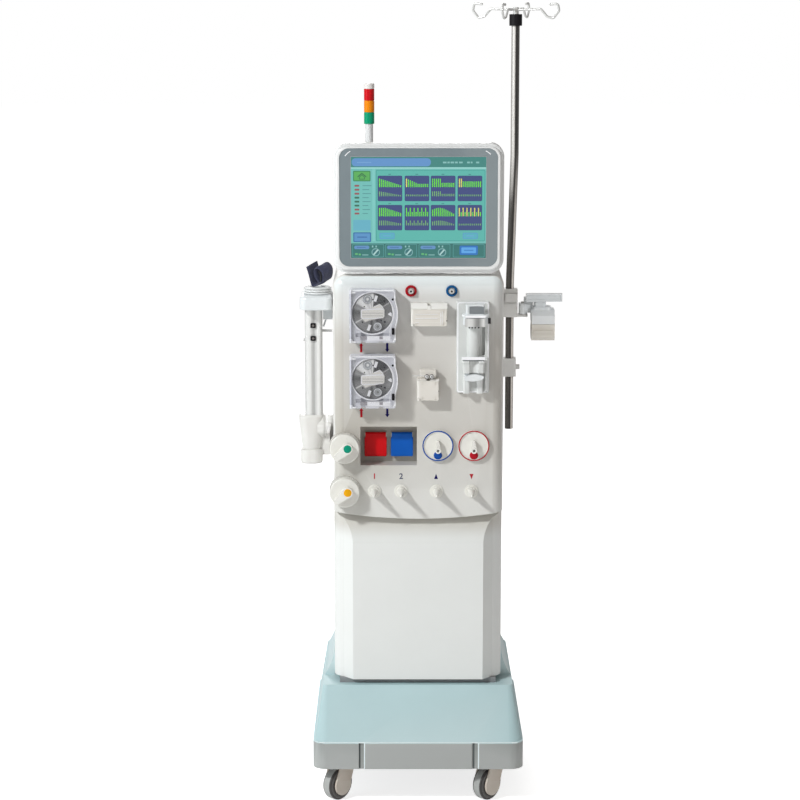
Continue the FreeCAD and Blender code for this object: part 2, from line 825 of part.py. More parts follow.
def caster_wheel():
    """Tyre and hub in one moulding, turning about a short axle along local X."""
    half = wheel_width / 2
    bore = axle_radius + running_fit
    rise = wheel_shoulder
    right = [(half, bore), (half, wheel_radius - rise), (half - 0.4 * rise, wheel_radius - 0.4 * rise),
             (half - rise, wheel_radius)]
    left = [(-x, z) for x, z in reversed(right)]
    profile = face_of([vec(x, 0, z) for x, z in right + left])
    wheel = profile.revolve(vec(0, 0, 0), vec(1, 0, 0), 360)
    hub = rod_x(12, 0, 0, -half - 1, half + 1)
    for x0, x1 in ((-half, -half + 2), (half - 2, half)):
        wheel = wheel.cut(rod_x(26, 0, 0, x0, x1).cut(hub))
    wheel.translate(vec(0, -caster_trail, wheel_radius))
    return wheel


def leg_outline(x, thickness, with_ear):
    """Side cheek of the fork: round over the axle, running up and back to the crown."""
    y = -caster_trail
    r = fork_cheek_radius
    top = fork_top_z
    back = fork_crown_radius
    circle = rod_x(r, y, wheel_radius, x, x + thickness)
    body = prism_yz([(y - r + 3, wheel_radius + 12), (y + r - 1, wheel_radius + 3), (back - 1, top - 10),
                     (back - 1, top), (-back, top), (-back - 6, top - 6)], x, x + thickness)
    leg = circle.fuse(body)
    if with_ear:
        ear = [(-back, top - 14), (-back, top), (-2 * back, top - 4), (-2 * back - 1, top - 13)]
        leg = leg.fuse(prism_yz(ear, x, x + thickness))
    return leg


def caster_fork(with_ear):
    inner = wheel_width / 2 + fork_side_gap
    crown_low = 2 * wheel_radius + 6.0
    crown_top = chassis_plate_z - 4.4
    left = leg_outline(-inner - fork_leg_thickness, fork_leg_thickness, with_ear)
    right = leg_outline(inner, fork_leg_thickness, with_ear)
    crown = rod_z(fork_crown_radius, 0, 0, crown_low + 3, crown_top)
    bridge = box(-inner - 0.5, inner + 0.5, -fork_crown_radius, fork_crown_radius - 2, crown_low, fork_top_z)
    stem = rod_z(swivel_radius, 0, 0, crown_top - 1, chassis_plate_z + chassis_plate_thickness - 1)
    axle = rod_x(axle_radius, -caster_trail, wheel_radius, -inner - 1, inner + 1)
    return fuse([left, right, crown, bridge, stem, axle] + ([pedal_pin()] if with_ear else []))


def pedal_pin():
    inner = wheel_width / 2 + fork_side_gap
    return rod_x(pedal_pin_radius, -pedal_axis_y, pedal_axis_z, -inner - 1, inner + 1)


def brake_pedal():
    """Foot tab that hinges between the fork's ears."""
    half = wheel_width / 2 + fork_side_gap - 0.6
    y, z = -pedal_axis_y, pedal_axis_z
    barrel = rod_x(pedal_pin_radius + 2.5, y, z, -half, half)
    tab = prism_yz([(y, z - 3.5), (y, z + 2.5), (-pedal_reach, z - 0.5), (-pedal_reach, z - 4)], -half, half)
    body = barrel.fuse(tab)
    return body.cut(rod_x(pedal_pin_radius + running_fit, y, z, -half - 1, half + 1)).removeSplitter()


def pump_outline(y0, y1, centre_z):
    """Pump head outline: a rounded rectangle with the finger bulge on its right side."""
    x0 = pump_x - pump_width / 2
    x1 = pump_x + pump_width / 2
    z0 = centre_z - pump_height / 2
    z1 = centre_z + pump_height / 2
    plate = rounded_plate(x0, x1, z0, z1, 5, y0, y1)
    half = pump_bulge_half_height
    wire = Part.Wire([
        Part.LineSegment(vec(x1 - 3, y0, centre_z - half), vec(x1, y0, centre_z - half)).toShape(),
        Part.Arc(vec(x1, y0, centre_z - half), vec(x1 + pump_bulge, y0, centre_z),
                 vec(x1, y0, centre_z + half)).toShape(),
        Part.LineSegment(vec(x1, y0, centre_z + half), vec(x1 - 3, y0, centre_z + half)).toShape(),
        Part.LineSegment(vec(x1 - 3, y0, centre_z + half), vec(x1 - 3, y0, centre_z - half)).toShape(),
    ])
    return plate.fuse(Part.Face(wire).extrude(vec(0, y1 - y0, 0))).removeSplitter()


def pump_face_y():
    return front_y - pump_depth


def pump_hinge():
    x = pump_x - pump_width / 2 + hinge_radius
    y = pump_face_y() - door_gap - hinge_radius + 0.1
    return x, y


def hinge_ear(x, y, face_y, z0, z1):
    """A knuckle that stands on a housing's face and holds one end of a pin."""
    foot = box(x - hinge_radius, x + hinge_radius, y, face_y + 1, z0, z1)
    return rod_z(hinge_radius, x, y, z0, z1).fuse(foot)


def pump_head(centre_z):
    """Housing with round race, tube notches and hinge ears; motor and shaft behind."""
    face = pump_face_y()
    rotor_z = centre_z + rotor_raise
    bottom = centre_z - pump_height / 2
    top = centre_z + pump_height / 2
    body = pump_outline(face, front_y, centre_z)
    floor_y = front_y - 6.0
    tools = [rod_y(race_radius, pump_x, rotor_z, face - 1, floor_y)]
    for x in (pump_x - 21, pump_x + 19):
        tools.append(rounded_plate(x - 5, x + 5, bottom - 5, rotor_z - race_radius + 12, 2,
                                   face - 1, face + 14))
    tools.append(rounded_plate(pump_x - 43, pump_x + 41, bottom + 13, bottom + 22, 2, face - 1, face + 4))
    body = cut(body, tools)
    hx, hy = pump_hinge()
    ears = [hinge_ear(hx, hy, face, bottom, bottom + knuckle_height),
            hinge_ear(hx, hy, face, top - knuckle_height, top),
            rod_z(hinge_pin_radius, hx, hy, bottom + 1, top - 1)]
    motor = rod_y(motor_radius, pump_x, rotor_z, front_y, front_y + motor_length)
    gear = rod_y(motor_radius - 6, pump_x, rotor_z, front_y + motor_length, front_y + motor_length + 12)
    shaft = rod_y(rotor_shaft_radius, pump_x, rotor_z, face + 8, floor_y + 1)
    return fuse([body] + ears + [motor, gear, shaft])


def roller_places(centre_z):
    rotor_z = centre_z + rotor_raise
    places = []
    for angle in (roller_angle, roller_angle + 180):
        a = math.radians(angle)
        places.append((pump_x + roller_offset * math.cos(a), rotor_z + roller_offset * math.sin(a)))
    return places


def pump_rotor(centre_z):
    """Rotor: back plate, hub, front plate with roller windows, guide posts and folding grip."""
    face = pump_face_y()
    rotor_z = centre_z + rotor_raise
    back = front_y - 6.5
    plate_front = face + 3.0
    plate = rod_y(rotor_radius, pump_x, rotor_z, plate_front, plate_front + 4)
    plate = soften(plate, 0.6, edge_in_plane("Y", plate_front))
    octagon = []
    for k in range(8):
        a = math.radians(22.5 + 45 * k)
        octagon.append((pump_x + 24 * math.cos(a), rotor_z + 21 * math.sin(a)))
    boss = prism_xz(octagon, face + 1.5, plate_front + 1)
    grip = rounded_plate(pump_x - 26, pump_x + 26, rotor_z - 10, rotor_z + 10, 3, face - 0.1, plate_front + 2)
    grip = soften(grip, 2.0, edge_in_plane("Y", face - 0.1))
    grip.rotate(vec(pump_x, 0, rotor_z), vec(0, 1, 0), -3)
    parts = [plate, boss, grip, rod_y(20, pump_x, rotor_z, plate_front + 3, back - 2),
             rod_y(rotor_radius - 3, pump_x, rotor_z, back - 3, back)]
    for x, z in roller_places(centre_z):
        parts[0] = parts[0].cut(rod_y(roller_radius + 0.5, x, z, face + 2, face + 8))
        parts.append(rod_y(roller_pin_radius, x, z, plate_front + 1, back - 2))
    for angle in (roller_angle - 32, roller_angle + 148):
        a = math.radians(angle)
        x = pump_x + roller_offset * math.cos(a)
        z = rotor_z + roller_offset * math.sin(a)
        parts.append(rod_y(3.2, x, z, plate_front + 2, back - 2))
        bar = rounded_plate(x - 2.6, x + 2.6, z - 5.5, z + 5.5, 1.2, face + 1.2, plate_front + 2)
        bar.rotate(vec(x, 0, z), vec(0, 1, 0), 18)
        parts.append(bar)
    rotor = fuse(parts)
    return rotor.cut(rod_y(rotor_shaft_radius + running_fit, pump_x, rotor_z, face + 7.7, back + 1))


def pump_roller(x, z):
    face = pump_face_y()
    back = front_y - 6.5
    body = rod_y(roller_radius, x, z, face + 3.4, back - 3.3)
    body = soften(body, 1.0, lambda e: isinstance(e.Curve, Part.Circle))
    recess = rod_y(roller_radius - 3, x, z, face + 3, face + 4.2)
    return cut(body, [rod_y(roller_pin_radius + running_fit, x, z, face, back + 1), recess])


def pump_door(centre_z):
    """Clear cover plate with its hinge barrel, finger bulge, and latch."""
    hx, hy = pump_hinge()
    bottom = centre_z - pump_height / 2
    top = centre_z + pump_height / 2
    back = hy + door_thickness / 2
    plate = pump_outline(back - door_thickness, back, centre_z)
    plate = plate.cut(box(hx - 20, hx, back - 10, back + 10, bottom - 1, top + 1))
    ear_zone = hx + hinge_radius + 0.8
    for z0, z1 in ((bottom - 1, bottom + knuckle_height + 0.4), (top - knuckle_height - 0.4, top + 1)):
        plate = plate.cut(box(hx - 20, ear_zone, back - 10, back + 10, z0, z1))
    barrel = rod_z(hinge_radius, hx, hy, bottom + knuckle_height + 0.4, top - knuckle_height - 0.4)
    x1 = pump_x + pump_width / 2
    latch = rounded_plate(x1 - 7.5, x1 - 2.5, bottom + 20, bottom + 34, 1.5, back - door_thickness - 2.2,
                          back - door_thickness + 0.5)
    stud = rod_y(2.0, x1 - 6.0, top - 21, back - door_thickness - 0.8, back - door_thickness + 0.5)
    door = fuse([plate, barrel, latch, stud])
    return door.cut(rod_z(hinge_pin_radius + running_fit, hx, hy, bottom, top))


def pressure_ports():
    """Two transducer ports: coloured ring flange, body through the panel and luer cone."""
    solids = []
    for x in (port_arterial_x, port_venous_x):
        ring = rod_y(port_ring_radius, x, port_z, front_y - 5, front_y)
        ring = soften(ring, 1.8, edge_in_plane("Y", front_y - 5))
        dish = Part.makeCone(port_ring_radius - 2.6, luer_radius + 1, 3.5, vec(x, front_y - 5, port_z),
                             vec(0, 1, 0))
        stem = rod_y(port_ring_radius - 3.1, x, port_z, front_y - 0.5, front_y + 26)
        luer = Part.makeCone(luer_radius - 1.2, luer_radius, 11, vec(x, front_y - 12, port_z), vec(0, 1, 0))
        body = fuse([ring.cut(dish), stem, luer])
        solids.append(body.cut(rod_y(luer_bore_radius, x, port_z, front_y - 13, front_y + 20)))
    return group(solids)


def sensor_hinge(left_x):
    return left_x + hinge_radius + 0.5, front_y - sensor_base_depth - 0.5 - sensor_door_thickness / 2


def sensor_body(x0, x1, z0, z1, hood):
    """Sensor block with a vertical tube slot, a sloping hood and a hinge pin for its door."""
    face = front_y - sensor_base_depth
    front = face - sensor_door_thickness - 0.5
    base = rounded_plate(x0, x1, z0, z1, 3, face, front_y)
    slope = min(hood * 0.55, 8.0)
    hood_block = prism_yz([(face + 1, z1 - hood), (front, z1 - hood), (front, z1 - hood + 2.5),
                           (face - sensor_door_thickness + slope, z1), (face + 1, z1)], x0, x1)
    hx, hy = sensor_hinge(x0)
    ear = hinge_ear(hx, hy, face, z0, z0 + 5)
    pin = rod_z(hinge_pin_radius, hx, hy, z0 + 1, z1 - hood + 1)
    middle = (x0 + x1) / 2
    slot = rounded_plate(middle - tube_slot_width / 2, middle + tube_slot_width / 2, z0 - 6, z1 - hood, 0.5,
                         face - 1, face + 9)
    slot = slot.fuse(box(middle - tube_slot_width / 2, middle + tube_slot_width / 2, front - 1, face + 9,
                         z1 - hood - 1, z1 + 1))
    return fuse([base, hood_block, ear, pin]).cut(slot)


def sensor_door(x0, x1, z0, z1, hood, ribs):
    """Door of a sensor block, with raised ribs and finger slots at its corners."""
    hx, hy = sensor_hinge(x0)
    top = z1 - hood - 0.5
    back = hy + sensor_door_thickness / 2
    front = hy - sensor_door_thickness / 2
    plate = rounded_plate(hx, x1 - 1.5, z0 + 0.5, top, 2, front, back)
    plate = plate.cut(box(hx - 20, hx + hinge_radius + 0.8, front - 5, back + 5, z0 - 1, z0 + 5.4))
    plate = plate.cut(box(hx - 20, hx + 0.1, front - 5, back + 5, z0 - 1, top + 1))
    barrel = rod_z(hinge_radius, hx, hy, z0 + 5.4, top)
    neck = box(hx, hx + hinge_radius + 3, hy - 2, hy + 2, z0 + 5.4, top)
    tools = []
    for x in (hx + 7, x1 - 9):
        for z in (z0 + 2, top - 9):
            tools.append(box(x, x + 2.4, front - 1, front + 1.6, z, z + 7))
    width = x1 - hx
    body = cut(fuse([plate, barrel, neck]), tools)
    raised = []
    for k in range(ribs):
        z = z0 + 8 + k * (top - z0 - 14) / max(ribs - 1, 1)
        raised.append(rounded_plate(hx + width * 0.18, hx + width * 0.82, z - 1.4, z + 1.4, 1.2,
                                    front - 1.4, front + 0.5))
    stud = rod_x(1.6, hy, (z0 + top) / 2, x1 - 2.5, x1 + 0.8)
    body = fuse([body, stud] + raised)
    return body.cut(rod_z(hinge_pin_radius + running_fit, hx, hy, z0, z1))


def detector_box():
    return (detector_x - detector_width / 2, detector_x + detector_width / 2, detector_bottom_z,
            detector_bottom_z + detector_height, detector_hood)


def clamp_box():
    return (clamp_x - clamp_width / 2, clamp_x + clamp_width / 2, clamp_bottom_z,
            clamp_bottom_z + clamp_height, clamp_hood)


def line_clamp():
    """Clamp block below, small bracket above with two bright pins and a thin guide rod."""
    x0, x1, z0, z1, hood = clamp_box()
    body = sensor_body(x0, x1, z0, z1, hood)
    half = clamp_block_width / 2
    face = front_y - 22
    bracket = rounded_plate(clamp_x - half, clamp_x + half, z1, z1 + clamp_block_height, 2, face, front_y)
    bracket = soften(bracket, 1.5, edge_in_plane("Y", face))
    parts = [body, bracket]
    pin_z = z1 + 6.5
    for x in (clamp_x - 2.5, clamp_x + 8.4):
        parts.append(rod_y(3.0, x, pin_z, face - 9, face + 2))
        parts.append(Part.makeSphere(4.2, vec(x, face - 9, pin_z)))
    parts.append(rod_x(0.9, face - 4.5, pin_z + 1.5, clamp_x - half - 18, clamp_x - 2))
    return fuse(parts)


def syringe_pump_body():
    """Back plate, fixed column, carriage slot, barrel seat, legs and guide rail."""
    x0 = syringe_x - syringe_width / 2
    x1 = syringe_x + syringe_width / 2
    face = front_y - syringe_plate_depth
    plate = rounded_plate(x0, x1, syringe_bottom_z, syringe_top_z, 5, face, front_y)
    plate = soften(plate, 4.0, edge_in_plane("Y", face))
    column = rod_z(column_radius, column_x, face, column_bottom_z, column_top_z)
    column = column.common(box(x0, x1, face - column_radius - 1, front_y - 2, column_bottom_z, column_top_z))
    seat = rounded_slab(100, 150, face - 26, face + 2, 6, barrel_clamp_z + 12.5, barrel_clamp_z + 36)
    flange = rounded_slab(97, 153, face - 29, face + 2, 8, barrel_clamp_z + 36, barrel_clamp_z + 41)
    groove = rod_z(11.0, column_x, face - 29, barrel_clamp_z + 9, barrel_clamp_z + 42)
    legs = []
    for x in (102, 132):
        legs.append(rounded_slab(x, x + 14, face - 12, face + 2, 3,
                                 syringe_bottom_z + 1, barrel_clamp_z + 12))
    rail = rounded_slab(150, 157, face - 8, face + 1, 2, syringe_bottom_z + 6, barrel_clamp_z + 60)
    body = fuse([plate, column, cut(seat, [groove]), cut(flange, [groove])] + legs + [rail])
    slot_low = carriage_bottom_z - carriage_travel - 4
    slot_high = carriage_bottom_z + carriage_collar_height + 2
    slot = rounded_plate(slot_x - slot_width / 2, slot_x + slot_width / 2, slot_low, slot_high,
                         slot_width / 2 - 0.1, face - 1, front_y - 3)
    clearance = box(slot_x - slot_width / 2 - 6, slot_x + slot_width / 2 + 14, face - 20, face - 0.5,
                    barrel_clamp_z + 46, barrel_clamp_z + 70)
    pivot = rod_y(3.0, column_x - 14, barrel_clamp_z + 3, face - 17, face - 5)
    return fuse([body.cut(slot).cut(clearance), pivot])


def syringe_carriage():
    """Plunger holder: windowed head, collar and the stem that runs in the slot."""
    face = front_y - syringe_plate_depth
    back = face - column_radius - 0.6
    z0 = carriage_bottom_z
    z1 = z0 + carriage_collar_height
    collar = rounded_slab(100, 156, back - 22, back, 7, z0, z1)
    collar = soften(collar, 2.0, edge_in_plane("Z", z0))
    collar = collar.fuse(rounded_slab(97, 158, back - 25, back, 8, z1 - 5, z1))
    head = rounded_slab(106, 149, back - 20, back, 4, z1, z1 + carriage_head_height)
    head = head.cut(rounded_plate(112, 143, z1 + 4, z1 + carriage_head_height - 3, 2, back - 21, back - 18.8))
    half = slot_width / 2 - 0.5
    stem = box(slot_x - half, slot_x + half, back - 1, front_y - 4.5, z0 + 4, z0 + 18)
    body = fuse([collar, head, stem])
    pocket = box(150, 160, back - 15.4, back - 6.6, z0 + 1.6, z0 + 15.4)
    plunger_slot = box(112, 138, back - 30, back - 12, z0 + 6, z0 + 11)
    return body.cut(pocket).cut(plunger_slot)


def carriage_release():
    """Press button in the side of the plunger holder."""
    face = front_y - syringe_plate_depth
    back = face - column_radius - 0.6
    z0 = carriage_bottom_z
    button = rounded_slab(153, 162.5, back - 15, back - 7, 1.5, z0 + 2, z0 + 15)
    return soften(button, 1.0, edge_in_plane("X", 162.5))


def barrel_clamp():
    """Swinging wing that holds the syringe barrel in its seat."""
    face = front_y - syringe_plate_depth
    x = column_x - 14
    z = barrel_clamp_z + 3
    hub = rod_y(8.0, x, z, face - 18, face - 12.4)
    y = face - 18
    wing = Part.Wire([
        Part.Arc(vec(x - 8, y, z + 2), vec(x + 10, y, z + 7), vec(x + 32, y, z + 5)).toShape(),
        Part.Arc(vec(x + 32, y, z + 5), vec(x + 36, y, z + 1), vec(x + 32, y, z - 3)).toShape(),
        Part.Arc(vec(x + 32, y, z - 3), vec(x + 10, y, z - 8), vec(x - 8, y, z - 5)).toShape(),
        Part.LineSegment(vec(x - 8, y, z - 5), vec(x - 8, y, z + 2)).toShape(),
    ])
    blade = Part.Face(wing).extrude(vec(0, -14, 0))
    blade = blade.fuse(Part.Face(wing).extrude(vec(0, 5.6, 0)))
    body = fuse([hub, blade])
    return body.cut(rod_y(3.0 + running_fit, x, z, face - 17.4, face))


def concentrate_flap(x):
    """Hinged cover of one concentrate port; the knuckle is a little narrower than the leaf."""
    y = flap_axis_y()
    z = flap_axis_z()
    half = flap_width / 2
    inner = half - flap_knuckle_inset
    knuckle = rod_x(5.0, y, z, x - inner, x + inner)
    strip = box(x - inner, x + inner, y - 5, y + 2, z - 8, z)
    leaf = rounded_plate(x - half, x + half, flap_top_z - flap_height, z - 6.5, 3, y - flap_thickness / 2,
                         y + flap_thickness / 2 - 1)
    leaf = soften(leaf, 1.5, edge_in_plane("Y", y - flap_thickness / 2))
    body = fuse([knuckle, strip, leaf])
    return body.cut(rod_x(hinge_pin_radius + running_fit, y, z, x - half - 1, x + half + 1))


def coupling_ports():
    """Two dialysate coupling dials: rimmed disc, tapered spigot with its bore, round marker."""
    solids = []
    for x in (dial_blue_x, dial_red_x):
        y = front_y - dial_depth
        disc = rod_y(dial_radius, x, dial_z, y, front_y)
        disc = disc.cut(rod_y(dial_radius - 3.2, x, dial_z, y - 1, y + 2))
        neck = rod_y(dial_radius - 12.2, x, dial_z, front_y - 1, front_y + 24)
        spigot = prism_xz([(x - 2, dial_z + 13), (x + 2, dial_z + 13), (x + 6.2, dial_z - 4),
                           (x + 6.2, dial_z - 9), (x - 6.2, dial_z - 9), (x - 6.2, dial_z - 4)], y - 12, y + 3)
        nose = rod_y(6.6, x, dial_z - 9, y - 15, y + 3)
        marker = rod_y(9.8, x, dial_z - 20.5, y + 0.6, y + 3)
        body = fuse([disc, neck, spigot, nose, marker])
        solids.append(body.cut(rod_y(3.2, x, dial_z - 9, y - 16, y - 2)))
    return group(solids)


def fluid_ports():
    """Four parked hose plugs: a seat ring in the panel and a long tapered plug in each."""
    solids = []
    for x in plug_xs:
        ring = rod_y(plug_ring_radius, x, plug_z, front_y - 2.5, front_y)
        ring = soften(ring, 1.2, edge_in_plane("Y", front_y - 2.5))
        stem = rod_y(plug_ring_radius - 3.1, x, plug_z, front_y - 1, front_y + 22)
        foot = rod_y(plug_head_radius, x, plug_z, front_y - 14, front_y - 1)
        taper = Part.makeCone(plug_tip_radius, plug_head_radius - 2, plug_length - 14,
                              vec(x, front_y - plug_length, plug_z), vec(0, 1, 0))
        tip = Part.makeSphere(plug_tip_radius, vec(x, front_y - plug_length, plug_z))
        solids.append(fuse([ring, stem, foot, taper, tip]))
    return group(solids)


def selector_knob(z):
    """Round knob with a wedge grip that slopes away from its marker."""
    back = front_y - knob_boss_depth - 0.4
    face = back - knob_disc_depth
    front = face - knob_grip_depth
    disc = rod_y(knob_radius, knob_x, z, face, back)
    disc = soften(disc, 3.0, edge_in_plane("Y", face))
    head_x, head_z = knob_x + 7.0, z + 3.5
    tail_x, tail_z = knob_x - 21.0, z - 20.0
    length = math.hypot(tail_x - head_x, tail_z - head_z)
    ux, uz = (tail_x - head_x) / length, (tail_z - head_z) / length
    wide, narrow = knob_dot_radius + 2.0, 6.0
    outline = [(head_x - uz * wide, head_z + ux * wide), (head_x + uz * wide, head_z - ux * wide),
               (tail_x + uz * narrow, tail_z - ux * narrow), (tail_x - uz * narrow, tail_z + ux * narrow)]
    wedge = prism_xz(outline, front, face + 2).fuse(rod_y(wide, head_x, head_z, front, face + 2))
    drop = math.degrees(math.atan2(uz, ux))
    lower = Part.makeBox(120, 60, 120, vec(10, -60, -60))
    lower.rotate(vec(10, 0, 0), vec(0, 0, 1), -58)
    lower.translate(vec(0, front, 0))
    lower.rotate(vec(0, 0, 0), vec(0, 1, 0), -drop)
    lower.translate(vec(head_x, 0, head_z))
    wedge = wedge.cut(lower)
    shaft = rod_y(knob_shaft_radius, knob_x, z, back - 1, seam_y + 6)
    return fuse([disc, wedge, shaft])


def monitor_housing():
    """Screen housing: stepped front frame, back cover and hinge lug."""
    half = monitor_width / 2
    rear = monitor_front_y + monitor_depth
    radius = monitor_corner_radius
    step = monitor_step
    low, high = monitor_bottom_z, monitor_top_z
    frame = rounded_plate(-half, half, low, high, radius, monitor_front_y + 8, rear - 12)
    raised = rounded_plate(-half + step, half - step, low + step, high - step, radius - step,
                           monitor_front_y, monitor_front_y + 9)
    raised = soften(raised, 4.0, edge_in_plane("Y", monitor_front_y))
    frame = soften(frame, 5.0, edge_in_plane("Y", monitor_front_y + 8))
    back = rounded_plate(-half + 10, half - 10, low + 8, high - 10, radius - 8, rear - 13, rear)
    back = soften(back, 6.0, edge_in_plane("Y", rear))
    hump = rounded_plate(-half + 42, half - 42, low + 46, high - 36, 20, rear - 1, monitor_axis_y + 8)
    hump = soften(hump, 8.0, edge_in_plane("Y", monitor_axis_y + 8))
    lug = rod_x(10.0, monitor_axis_y, monitor_axis_z, -monitor_lug_half_width, monitor_lug_half_width)
    web = box(-monitor_lug_half_width, monitor_lug_half_width, rear - 1, monitor_axis_y,
              monitor_axis_z - 8, monitor_axis_z + 10)
    body = fuse([frame, raised, back, hump, lug, web])
    pocket = glass_plate(0.3, monitor_front_y - 1, monitor_front_y + 0.8 + glass_thickness)
    cavity = rounded_plate(-half + 14, half - 14, low + 14, high - 14, radius - 14,
                           monitor_front_y + 14, rear - 4)
    bore = rod_x(monitor_pin_radius + running_fit, monitor_axis_y, monitor_axis_z,
                 -monitor_lug_half_width - 1, monitor_lug_half_width + 1)
    return cut(body, [pocket, cavity, bore])


def glass_plate(gap, y0, y1):
    half_w = glass_width / 2 + gap
    half_h = glass_height / 2 + gap
    return rounded_plate(-half_w, half_w, glass_centre_z - half_h, glass_centre_z + half_h,
                         glass_corner_radius + gap, y0, y1)


def monitor_glass():
    return glass_plate(0.0, monitor_front_y + 0.8, monitor_front_y + 0.8 + glass_thickness)


def monitor_bracket():
    """Foot plate with two ears and the tilt pin."""
    foot = box(-monitor_lug_half_width - 30, monitor_lug_half_width + 30, monitor_axis_y - 16,
               monitor_axis_y + 36, cabinet_top_z, cabinet_top_z + 4)
    parts = [foot]
    for side in (-1, 1):
        x0, x1 = sorted((side * (monitor_lug_half_width + 0.5), side * (monitor_lug_half_width + 9)))
        parts.append(rod_x(11.0, monitor_axis_y, monitor_axis_z, x0, x1))
        parts.append(box(x0, x1, monitor_axis_y - 11, monitor_axis_y + 16, cabinet_top_z + 3, monitor_axis_z))
    parts.append(rod_x(monitor_pin_radius, monitor_axis_y, monitor_axis_z,
                       -monitor_lug_half_width - 12, monitor_lug_half_width + 12))
    return fuse(parts)


def signal_tower():
    """Flanged tube with three lens sections and a cap, seamed between the sections."""
    flange = rod_z(17, tower_x, tower_y, cabinet_top_z, cabinet_top_z + 5)
    tube = rod_z(tower_tube_radius, tower_x, tower_y, cabinet_top_z + 4, tower_lens_z + 1)
    parts = [flange, tube]
    for k in range(3):
        z = tower_lens_z + k * tower_lens_height
        parts.append(rod_z(tower_radius, tower_x, tower_y, z + 0.5, z + tower_lens_height - 0.5))
        parts.append(rod_z(tower_radius - 1, tower_x, tower_y, z, z + tower_lens_height))
    z = tower_lens_z + 3 * tower_lens_height
    cap = rod_z(tower_radius, tower_x, tower_y, z, z + tower_cap_height)
    parts.append(soften(cap, 4.0, edge_in_plane("Z", z + tower_cap_height)))
    return fuse(parts)


def pole_path():
    """Straight runs joined by tangent arcs, from the bottom end to the top of the drip pole."""
    corners = [vec(pole_x, pole_y, pole_bottom_z), vec(pole_x, pole_y, pole_bend_low_z + 6),
               vec(pole_upper_x, pole_y, pole_bend_high_z), vec(pole_upper_x, pole_y, pole_top_z)]
    return rounded_path(corners, pole_bend_radius)


def rounded_path(corners, radius=None):
    """A wire through corners, each inner one an arc of the given radius or else as wide as fits."""
    edges = []
    start = corners[0]
    for k in range(1, len(corners) - 1):
        before = corners[k - 1] - corners[k]
        after = corners[k + 1] - corners[k]
        widest = 0.45 * min(before.Length, after.Length)
        before.normalize()
        after.normalize()
        turn = math.pi - before.getAngle(after)
        setback = radius * math.tan(turn / 2) if radius else widest
        bend = setback / math.tan(turn / 2)
        a = corners[k] + before * setback
        b = corners[k] + after * setback
        bisector = (before + after).normalize()
        middle = corners[k] + bisector * (bend / math.cos(turn / 2) - bend)
        edges.append(Part.LineSegment(start, a).toShape())
        edges.append(Part.Arc(a, middle, b).toShape())
        start = b
    edges.append(Part.LineSegment(start, corners[-1]).toShape())
    return Part.Wire(edges)


def swept(path, radius):
    start = path.Edges[0].valueAt(path.Edges[0].FirstParameter)
    direction = path.Edges[0].tangentAt(path.Edges[0].FirstParameter)
    circle = Part.Wire(Part.makeCircle(radius, start, direction))
    return path.makePipeShell([circle], True, False)


def iv_pole():
    tube = swept(pole_path(), pole_radius)
    bore = swept(pole_path(), pole_radius - pole_wall)
    return tube.cut(bore)


def hook_head():
    """Collar, hub and four wire arms, each ending in a dip and an upturned eye."""
    x, y = pole_upper_x, pole_y
    top = collar_bottom_z + collar_height
    collar = rod_z(collar_radius, x, y, collar_bottom_z, top)
    for z in (collar_bottom_z, top):
        collar = soften(collar, 1.5, edge_in_plane("Z", z))
    hub = rod_z(7.0, x, y, top - 1, hook_arm_z + 6)
    parts = [collar, hub]
    r = hook_loop_radius
    reach = hook_reach
    for angle in hook_angles:
        places = [(0, 0), (reach - 2.9 * r, 2), (reach - 1.9 * r, -r), (reach - 0.9 * r, -1.25 * r),
                  (reach, -0.1 * r), (reach - 0.2 * r, 0.95 * r), (reach - 1.4 * r, 0.85 * r)]
        corners = [vec(out, 0, hook_arm_z + up) for out, up in places]
        path = rounded_path(corners, 6.5)
        arm = swept(path, hook_wire_radius)
        ball = Part.makeSphere(hook_wire_radius + 0.4, corners[-1])
        arm = fuse([arm, ball])
        arm.rotate(vec(0, 0, 0), vec(0, 0, 1), angle)
        arm.translate(vec(x, y, 0))
        parts.append(arm)
    head = fuse(parts)
    return head.cut(rod_z(pole_radius + running_fit, x, y, collar_bottom_z - 1, pole_top_z + 0.5))


def pole_clamps():
    """Two blocks on the cabinet's side that guide the pole; the upper one carries the holder pin."""
    solids = []
    bore = rod_z(pole_radius + running_fit, pole_x, pole_y, clamp_low_z - 5,
                 clamp_high_z + clamp_high_height + 5)
    low = rounded_slab(half_width, pole_clamp_reach - 3, pole_y - 17, pole_y + 17, 4, clamp_low_z,
                       clamp_low_z + clamp_low_height)
    screw = rod_x(6, pole_y, clamp_low_z + clamp_low_height / 2, pole_clamp_reach - 4, pole_clamp_reach + 6)
    solids.append(fuse([low, screw]).cut(bore))
    high = rounded_slab(half_width, pole_clamp_reach, pole_y - 19, pole_y + 19, 4, clamp_high_z,
                        clamp_high_z + clamp_high_height)
    plate_z = holder_bottom_z - 6.3
    ledge = rounded_slab(pole_clamp_reach - 6, holder_axis_x + 11, pole_y - 12, pole_y + 12, 6,
                         clamp_high_z, plate_z + 6.0)
    pin = rod_z(holder_pin_radius, holder_axis_x, pole_y, plate_z + 1, holder_top_z + 3)
    flat = box(pole_x - 12, pole_clamp_reach - 1, pole_y - 34, pole_y - 18, rail_z, rail_z + rail_height)
    solids.append(fuse([high, ledge, pin, flat]).cut(bore))
    return group(solids)


